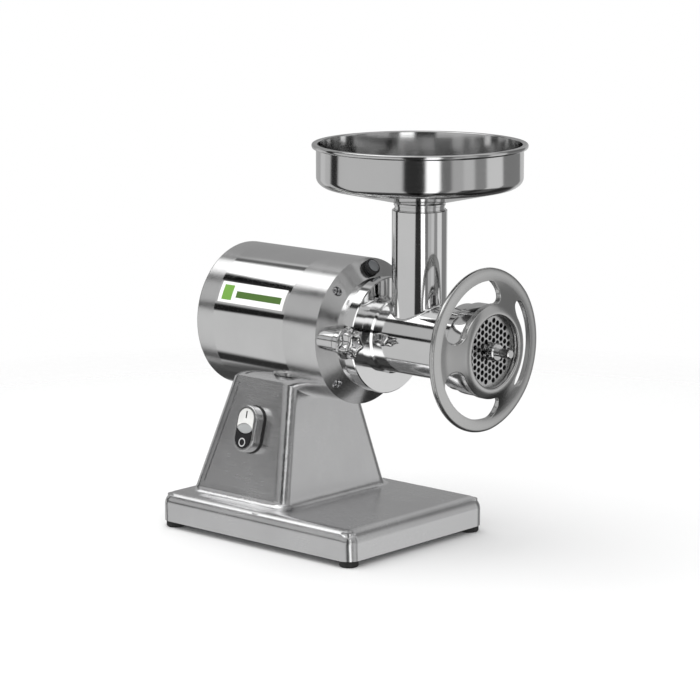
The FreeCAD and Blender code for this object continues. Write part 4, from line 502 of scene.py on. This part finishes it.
class GRINDER_OT_handwheel(bpy.types.Operator):
    """Shape the dished wheel with its three windows, and turn the skirt behind it"""

    bl_idname = "grinder.handwheel"
    bl_label = "Handwheel"

    def execute(self, context):
        self.wheel(context)
        hub, rear = WHEEL_HIGH.x / MM, WHEEL_LOW.x / MM
        thread, outside, step = 46.7, 49.0, 48.0
        profile = [
            (thread, rear), (outside, rear, 0.8), (outside, hub - 10.5), (step, hub - 8.6),
            (thread, hub - 8.6),
        ]
        bm = lathe(profile, (0.0, 0.0, AXIS_Z), (1, 0, 0))
        add_piece("handwheel_skirt", bm, "ring_nut", "skirt_polish", 40.0)
        return {"FINISHED"}

    def wheel(self, context):
        """Bend a grid round the axis, cut the windows and close their walls."""
        hub, edge = WHEEL_HIGH.x / MM, WHEEL_HIGH.y / MM
        rim = hub - 13.3
        rim_rear = rim - 6.0
        front = [
            (38.5, hub - 7.8), (38.5, hub - 1.6), (39.1, hub - 0.4), (40.6, hub), (44.0, hub - 0.4),
            (47.6, hub - 1.6), (49.4, hub - 2.5), (50.4, hub - 3.0), (56.0, hub - 5.8), (62.2, hub - 8.8),
            (68.0, hub - 11.2), (74.0, hub - 12.6), (75.0, hub - 12.8), (80.0, rim), (edge - 1.6, rim),
            (edge - 0.1, rim - 1.3),
        ]
        rear = [
            (edge - 0.1, rim - 4.7), (edge - 1.6, rim_rear), (80.0, rim_rear), (75.0, rim - 5.7),
            (74.0, rim - 5.5), (68.0, rim - 4.1), (62.2, rim - 1.8), (56.0, rim + 1.1), (50.4, rim + 3.7),
            (49.4, rim + 4.1), (46.9, rim + 4.6),
        ]
        section = front + rear
        # the windows cut through these rows of the section, in front and behind
        cut_rows = ((7, 11), (len(front) + 4, len(front) + 8))
        windows, spokes = 14, [0.0, 0.07, 0.26, 0.5, 0.74, 0.93, 1.0]
        per_sector = windows + len(spokes) - 1
        sectors = 3
        sector_angle = math.radians(120.0)
        columns = sectors * per_sector
        rows = len(section)
        middle, half_width, straight_reach = 62.25, 12.25, math.radians(35.1)
        window_crease = 0.72

        def half_angle(radius):
            """Half the angle that a window takes up at a radius; its ends are round."""
            offset = min(abs(radius - middle), half_width)
            return straight_reach + math.sqrt(half_width ** 2 - offset ** 2) / radius

        def angle(column, radius):
            """Where a column of the grid stands at a radius."""
            sector, place = divmod(column, per_sector)
            reach = half_angle(radius)
            start = sector * sector_angle
            if place <= windows:
                return start - reach + 2 * reach * place / windows
            share = spokes[place - windows]
            return start + reach + share * (sector_angle - 2 * reach)

        bm = bmesh.new()
        bmesh.ops.create_grid(bm, x_segments=rows, y_segments=columns, size=1.0)
        row_of, column_of = {}, {}
        for vert in bm.verts:
            row = round((vert.co.x + 1.0) / 2.0 * rows) % rows
            column = round((vert.co.y + 1.0) / 2.0 * columns)
            row_of[vert], column_of[vert] = row, column
            radius, place = section[row]
            turn = angle(column % columns, radius)
            vert.co = (place * MM, radius * MM * math.cos(turn), AXIS_Z + radius * MM * math.sin(turn))
        open_faces = []
        for face in bm.faces:
            found_rows = sorted({row_of[vert] for vert in face.verts})
            sector_end = max(column_of[vert] for vert in face.verts) % per_sector
            in_window = 0 < sector_end <= windows
            in_band = any(low <= found_rows[0] and found_rows[-1] <= high for low, high in cut_rows)
            if in_window and in_band:
                open_faces.append(face)
        bmesh.ops.delete(bm, geom=open_faces, context="FACES")
        bmesh.ops.remove_doubles(bm, verts=bm.verts, dist=0.00002)
        crease = bm.edges.layers.float.new("crease_edge")
        loops = [side for side in bm.edges if len(side.link_faces) == 1]
        for side in loops:
            side[crease] = window_crease
        for sector in range(sectors):
            centre = sector * sector_angle
            near = []
            for side in loops:
                spot = (side.verts[0].co + side.verts[1].co) / 2
                turn = math.atan2(spot.z - AXIS_Z, spot.y)
                if math.cos(turn - centre) > 0.5:
                    near.append(side)
            bmesh.ops.bridge_loops(bm, edges=near)
        bmesh.ops.recalc_face_normals(bm, faces=bm.faces)
        piece = add_piece("handwheel_dish", bm, "ring_nut", "satin_wheel", 180.0,
                          ("handwheel",))
        smooth = piece.modifiers.new("Smooth casting", "SUBSURF")
        smooth.levels = context.scene.grinder_shape.wheel_smoothing
        smooth.render_levels = context.scene.grinder_shape.wheel_smoothing


class GRINDER_OT_knobs(bpy.types.Operator):
    """Raise the two lobed clamp knobs, with studs and washers"""

    bl_idname = "grinder.knobs"
    bl_label = "Clamp Knobs"

    def execute(self, context):
        lobe = context.scene.grinder_shape.knob_lobe / MM
        lobes, points, grip_radius, ripple = 5, 120, 13.6, 0.35
        outline = []
        for step in range(points):
            turn = 2 * math.pi * step / points
            radius = grip_radius + lobe * math.cos(lobes * turn) + ripple * math.cos(2 * lobes * turn)
            outline.append((radius * math.cos(turn), radius * math.sin(turn)))
        for side in ("left", "right"):
            node = "clamp_knob_" + side
            low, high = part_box(node)
            centre = (low.x, (low.y + high.y) / 2, AXIS_Z)
            length = (high.x - low.x) / MM
            base = [(0.0, 0.0), (9.0, 0.0), (17.2, 1.4, 1.0), (17.4, 3.4, 0.8), (13.0, 4.6, 0.8),
                    (0.0, 4.6)]
            bm = lathe(base, centre, (1, 0, 0), 96)
            add_piece(node + "_base", bm, node, "chrome_knob", 40.0)
            layers = [(3.0, 0.97), (4.0, 1.0), (length - 3.2, 1.0), (length - 1.6, 0.965),
                      (length - 0.5, 0.90), (length, 0.80), (length, 0.52), (length - 0.7, 0.46),
                      (length - 0.7, 0.31)]
            bm = stacked(outline, layers, centre, (1, 0, 0))
            add_piece(node + "_grip", bm, node, "chrome_knob", 38.0, (node,))
            skin("clamp_washer_" + side, "clamp_washer_" + side, "screw_steel", "steel")
        skin("clamp_studs", "machine", "screw_steel", "steel")
        return {"FINISHED"}


class GRINDER_OT_oil_plug(bpy.types.Operator):
    """Raise the knurled breather plug with its domed eye"""

    bl_idname = "grinder.oil_plug"
    bl_label = "Oil Plug"

    def execute(self, context):
        low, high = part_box("oil_plug_gasket")
        seat = (low + high) / 2
        direction = Vector((0.826, 0.0, 0.563))  # out of the housing, forwards and up
        points, plug_radius, knurl = 144, 9.0, (0.0, -0.12, -0.45, -0.12)
        outline = []
        for step in range(points):
            turn = 2 * math.pi * step / points
            radius = plug_radius + knurl[step % len(knurl)]
            outline.append((radius * math.cos(turn), radius * math.sin(turn)))
        layers = [(-7.0, 0.66), (0.6, 0.66), (0.6, 0.93), (1.1, 1.0), (6.2, 1.0), (6.7, 0.95), (7.0, 0.87),
                  (6.6, 0.78)]
        bm = stacked(outline, layers, seat, direction)
        add_piece("oil_plug_body", bm, "machine", "black_plastic", 35.0, ("oil_plug",))
        eye = [(0.0, 5.8), (6.9, 5.8), (6.9, 6.9, 0.4), (6.1, 7.5, 0.5), (3.5, 8.1, 1.5), (0.0, 8.3)]
        bm = lathe(eye, seat, direction, 72)
        add_piece("oil_plug_eye", bm, "machine", "eye_grey", 40.0)
        skin("oil_plug_gasket", "machine", "black_rubber", "black_rubber")
        return {"FINISHED"}


class GRINDER_OT_switch(bpy.types.Operator):
    """Round the push buttons and add their marks"""

    bl_idname = "grinder.switch"
    bl_label = "Switch"

    def execute(self, context):
        rounding = context.scene.grinder_shape.button_round
        skin("switch_bezel", "machine", "bezel_chrome", "bright_steel")
        round_edges(skin("switch_gasket", "machine", "black_rubber", "black_rubber"), 0.0004)
        round_edges(skin("pilot_lens", "machine", "lens_grey", "grey_lens"), 0.0008)
        round_edges(skin("start_button", "start_button", "white_plastic", "white_plastic"), rounding)
        round_edges(skin("stop_button", "stop_button", "black_plastic", "black_plastic"), rounding)
        self.marks()
        return {"FINISHED"}

    def marks(self):
        """Lay a plain line on the start button and a plain ring on the stop button."""
        low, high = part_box("switch_gasket")
        middle = (low + high) / 2
        gasket_thickness = 0.002
        tilt = math.atan2(high.y - low.y - gasket_thickness, high.z - low.z)
        outward = Vector((0, -math.cos(tilt), math.sin(tilt)))
        up = Vector((0, math.sin(tilt), math.cos(tilt)))
        marks = (("start_mark", "start_button", 15.5, 13.45), ("stop_mark", "stop_button", -15.5, 13.85))
        for name, body, rise, front in marks:
            spot = middle + up * rise * MM + outward * front * MM
            if name == "start_mark":
                bm = stacked([(-0.8, -4.0), (0.8, -4.0), (0.8, 4.0), (-0.8, 4.0)],
                             [(-0.6, 1.0), (0.0, 1.0), (0.12, 0.9)], (0, 0, 0), (0, 0, 1))
                basis = Matrix((Vector((1, 0, 0)), up, outward)).transposed().to_4x4()
                bmesh.ops.transform(bm, matrix=Matrix.Translation(spot) @ basis, verts=bm.verts)
                bmesh.ops.recalc_face_normals(bm, faces=bm.faces)
                add_piece(name, bm, body, "mark_black")
            else:
                ring = [(3.6, -0.6), (4.9, -0.6), (4.9, 0.12, 0.1), (3.6, 0.12, 0.1)]
                bm = lathe(ring, spot, outward, 64)
                add_piece(name, bm, body, "mark_grey")


class GRINDER_OT_castings(bpy.types.Operator):
    """Finish the base, the motor's casings, the gear housing and the barrel"""

    bl_idname = "grinder.castings"
    bl_label = "Castings"

    def execute(self, context):
        skin("base_casting", "machine", "base_polish", "base_metal", 35.0)
        skin("motor_casing", "machine", "motor_polish", "base_metal")
        skin("rear_cover", "machine", "cover_polish", "base_metal", 40.0)
        skin("gear_housing", "machine", "housing_polish", "base_metal")
        skin("barrel", "machine", "barrel_polish", "bright_steel", 35.0)
        return {"FINISHED"}


class GRINDER_OT_label(bpy.types.Operator):
    """Print the blank label's coloured block"""

    bl_idname = "grinder.label"
    bl_label = "Label"

    def execute(self, context):
        skin("label_plate", "machine", "label_film", "label")
        return {"FINISHED"}


class GRINDER_OT_cutting_set(bpy.types.Operator):
    """Finish the auger, knife and perforated plate"""

    bl_idname = "grinder.cutting_set"
    bl_label = "Cutting Set"

    def execute(self, context):
        skin("mincer_plate", "cutting_plate", "plate_steel", "steel", 35.0)
        skin("auger", "feed_screw", "pin_steel", "steel", 35.0)
        skin("knife", "feed_screw", "pin_steel", "steel", 35.0)
        skin("plate_key_pin", "machine", "screw_steel", "steel")
        return {"FINISHED"}


class GRINDER_OT_small_pieces(bpy.types.Operator):
    """Finish screws, feet, bottom cover and cable gland"""

    bl_idname = "grinder.small_pieces"
    bl_label = "Small Pieces"

    def execute(self, context):
        for node in ("housing_screws", "rear_cover_screws", "foot_screws", "cover_screws"):
            skin(node, "machine", "screw_steel", "steel")
        skin("rubber_feet", "machine", "black_rubber", "black_rubber")
        skin("base_cover", "machine", "zinc_plate", "steel")
        skin("cable_gland", "machine", "black_plastic", "black_plastic")
        return {"FINISHED"}


class GRINDER_OT_inner_pieces(bpy.types.Operator):
    """Finish the motor, gears, bearings and wiring inside"""

    bl_idname = "grinder.inner_pieces"
    bl_label = "Inner Pieces"

    def execute(self, context):
        finishes = {
            "saddle_bolts": "screw_steel", "motor_capacitor": "grey_plastic",
            "terminal_block": "white_plastic", "switch_lock_nut": "black_plastic",
            "switch_contact_block": "grey_plastic",
            "stator_core": "stator_iron", "stator_windings": "copper_wire", "rotor_core": "rotor_iron",
            "rotor_shaft": "shaft_steel", "cooling_fan": "grey_plastic", "gearbox_plate": "raw_casting",
            "motor_pinion": "gear_steel", "layshaft_gear": "gear_steel", "layshaft_pinion": "gear_steel",
            "output_gear": "gear_steel", "layshaft": "shaft_steel", "drive_shaft": "shaft_steel",
            "shaft_seal": "black_rubber",
        }
        for place in ("motor", "layshaft", "output"):
            for ring in ("outer", "inner"):
                finishes[f"{place}_bearing_{ring}_rings"] = "bearing_steel"
        for node, finish_name in finishes.items():
            dress(node, finish_name)
        return {"FINISHED"}


# ---------------------------------------------------------------------------------------
# Stage
# ---------------------------------------------------------------------------------------
def ramp(tree, source, stops):
    """A stepped ramp of grey levels; a stop is (place from 0 to 1, level)."""
    node = tree.nodes.new("ShaderNodeValToRGB")
    elements = node.color_ramp.elements
    while len(elements) > 1:
        elements.remove(elements[-1])
    elements[0].position = stops[0][0]
    elements[0].color = (*[stops[0][1]] * 3, 1.0)
    for place, level in stops[1:]:
        element = elements.new(place)
        element.color = (level, level, level, 1.0)
    tree.links.new(source, node.inputs["Fac"])
    return node.outputs["Color"]


FULL_TURN, FULL_RISE = (-180, 180), (-90, 90)


def panels(pairs, soft, span):
    """Stops for a row of panels: (start in degrees, level) pairs joined by soft edges, over a span."""
    low, high = span
    stops = [(0.0, pairs[0][1])]
    for (start, level), (_, before) in zip(pairs[1:], pairs):
        stops.append(((start - soft - low) / (high - low), before))
        stops.append(((start + soft - low) / (high - low), level))
    return stops


class GRINDER_OT_stage(bpy.types.Operator):
    """Lay the pale floor and set the studio panels, the lights and the camera"""

    bl_idname = "grinder.stage"
    bl_label = "Stage"

    def execute(self, context):
        self.floor()
        self.surroundings(context)
        self.lights()
        self.camera(context)
        context.scene.view_settings.view_transform = "Standard"
        return {"FINISHED"}

    def floor(self):
        """Lay a round floor that fades out far from the machine."""
        bm = bmesh.new()
        bmesh.ops.create_circle(bm, cap_ends=True, segments=96, radius=3.0)
        mesh = bpy.data.meshes.new("floor")
        bm.to_mesh(mesh)
        bm.free()
        floor = bpy.data.objects.new("floor", mesh)
        bpy.context.scene.collection.objects.link(floor)
        material, tree, principled = shader("Pale floor")
        coordinates = add(tree, "ShaderNodeTexCoord")
        far = add(tree, "ShaderNodeVectorMath", {0: coordinates.outputs["Object"]}, operation="LENGTH")
        fade = spread(tree, far.outputs["Value"], 1.0, 0.0, 0.45, 1.15)
        tree.links.new(fade, principled.inputs["Alpha"])
        tree.links.new(blend_colour(tree, noise(tree, 3.0), (0.90, 0.90, 0.90), (0.92, 0.92, 0.92)),
                       principled.inputs["Base Color"])
        principled.inputs["Roughness"].default_value = 0.8
        principled.inputs["Specular IOR Level"].default_value = 0.2
        mesh.materials.append(material)
        floor.visible_glossy = False

    def surroundings(self, context):
        """Surround the machine with pale and dark panels that only reflections see."""
        world = bpy.data.worlds.new("Studio")
        world.use_nodes = True
        tree = world.node_tree
        tree.nodes.clear()
        output = tree.nodes.new("ShaderNodeOutputWorld")
        coordinates = add(tree, "ShaderNodeTexCoord")
        parts = add(tree, "ShaderNodeSeparateXYZ", {"Vector": coordinates.outputs["Generated"]})
        turn = add(tree, "ShaderNodeMath", {0: parts.outputs["Y"], 1: parts.outputs["X"]},
                   operation="ARCTAN2")
        turn = spread(tree, turn.outputs[0], 0.0, 1.0, -math.pi, math.pi)
        rise = add(tree, "ShaderNodeMath", {0: parts.outputs["Z"]}, operation="ARCSINE")
        rise = spread(tree, rise.outputs[0], 0.0, 1.0, -math.pi / 2, math.pi / 2)
        walls = ramp(tree, turn, panels([
            (-180, 0.60), (-167, 0.03), (-153, 0.64), (-68, 0.035), (-43, 1.7), (-27, 0.20), (-14, 0.50),
            (14, 0.24), (30, 0.62), (56, 0.20), (98, 0.50), (124, 0.38), (166, 0.55),
        ], 1.6, FULL_TURN))
        ceiling = ramp(tree, turn, panels([
            (-180, 1.8), (-100, 0.9), (-30, 0.7), (120, 0.45), (148, 0.66), (162, 0.14), (171, 1.6),
        ], 1.6, FULL_TURN))
        lift = ramp(tree, rise, panels([(-90, 0.0), (43.5, 1.0)], 0.8, FULL_RISE))
        near = ramp(tree, rise, panels([
            (-90, 0.08), (-62, 0.14), (-46, 0.95), (6.8, 0.02), (14.0, 0.78), (37.8, 0.04), (43.5, 1.0),
        ], 0.8, FULL_RISE))
        far = ramp(tree, rise, panels([(-90, 0.08), (-52, 0.16), (-25, 1.2), (-5, 0.88)], 3.0, FULL_RISE))
        side = ramp(tree, turn, panels([(-180, 0.0), (0, 1.0)], 1.0, FULL_TURN))
        lines = blend_colour(tree, side, near, far)
        upper = blend_colour(tree, lift, walls, ceiling)
        banded = tree.nodes.new("ShaderNodeMix")
        banded.data_type = "RGBA"
        banded.blend_type = "MULTIPLY"
        banded.inputs["Factor"].default_value = 1.0
        colours = [item for item in banded.inputs if item.type == "RGBA"]
        tree.links.new(upper, colours[0])
        tree.links.new(lines, colours[1])
        banded_out = [item for item in banded.outputs if item.type == "RGBA"][0]
        path = add(tree, "ShaderNodeLightPath")
        even = blend_colour(tree, path.outputs["Is Diffuse Ray"], banded_out, (0.95, 0.95, 0.95))
        seen = blend_colour(tree, path.outputs["Is Camera Ray"], even, (1.0, 1.0, 1.0))
        background = add(tree, "ShaderNodeBackground", {"Color": seen}, Strength=1.0)
        tree.links.new(background.outputs[0], output.inputs["Surface"])
        context.scene.world = world

    def lights(self):
        """Hang two soft panels above and beside the machine."""
        aim = Vector((0, 0, 0.2))
        for name, place, size, power in (
            ("Top panel", (-0.25, -0.35, 1.6), 1.5, 9.0),
            ("Side panel", (1.1, -1.2, 1.0), 0.9, 4.0),
        ):
            data = bpy.data.lights.new(name, "AREA")
            data.shape = "DISK"
            data.size = size
            data.energy = power
            light = bpy.data.objects.new(name, data)
            light.location = place
            light.rotation_euler = (aim - Vector(place)).to_track_quat("-Z", "Y").to_euler()
            light.visible_glossy = False
            bpy.context.scene.collection.objects.link(light)

    def camera(self, context):
        """Stand the camera in its place, looking back along its azimuth and pitch."""
        settings = context.scene.grinder_stage
        data = bpy.data.cameras.new("Camera")
        data.lens = settings.lens
        data.clip_start = 0.1
        data.clip_end = 50.0
        camera = bpy.data.objects.new("Camera", data)
        azimuth, pitch = settings.azimuth, settings.pitch
        back = Vector((math.sin(azimuth) * math.cos(pitch), -math.cos(azimuth) * math.cos(pitch),
                       math.sin(pitch)))
        camera.location = settings.camera_place
        camera.rotation_euler = (-back).to_track_quat("-Z", "Y").to_euler()
        bpy.context.scene.collection.objects.link(camera)
        context.scene.camera = camera


# ---------------------------------------------------------------------------------------
# Panel and registration
# ---------------------------------------------------------------------------------------
OPERATORS = (
    GRINDER_OT_stage, GRINDER_OT_castings, GRINDER_OT_hopper, GRINDER_OT_handwheel, GRINDER_OT_knobs,
    GRINDER_OT_oil_plug, GRINDER_OT_switch, GRINDER_OT_label, GRINDER_OT_cutting_set,
    GRINDER_OT_small_pieces, GRINDER_OT_inner_pieces,
)


class GRINDER_PT_panel(bpy.types.Panel):
    """Lists the grinder's pieces and settings."""

    bl_idname = "GRINDER_PT_panel"
    bl_label = "Meat Grinder"
    bl_space_type = "VIEW_3D"
    bl_region_type = "UI"
    bl_category = "Grinder"

    def draw(self, context):
        layout = self.layout
        for operator in OPERATORS:
            layout.operator(operator.bl_idname)
        for group in ("grinder_finish", "grinder_shape", "grinder_stage"):
            settings = getattr(context.scene, group)
            box = layout.box()
            for name in settings.bl_rna.properties.keys():
                if name not in ("name", "rna_type"):
                    box.prop(settings, name)


GROUPS = {
    "grinder_finish": GrinderFinishSettings,
    "grinder_shape": GrinderShapeSettings,
    "grinder_stage": GrinderStageSettings,
}
CLASSES = (*GROUPS.values(), *OPERATORS, GRINDER_PT_panel)


def register():
    for item in CLASSES:
        bpy.utils.register_class(item)
    for name, group in GROUPS.items():
        setattr(bpy.types.Scene, name, PointerProperty(type=group))


def unregister():
    for name in GROUPS:
        delattr(bpy.types.Scene, name)
    for item in reversed(CLASSES):
        bpy.utils.unregister_class(item)


def main():
    """Make everything in order."""
    register()
    for operator in OPERATORS:
        group, name = operator.bl_idname.split(".")
        getattr(getattr(bpy.ops, group), name)()


if __name__ == "__main__":
    main()
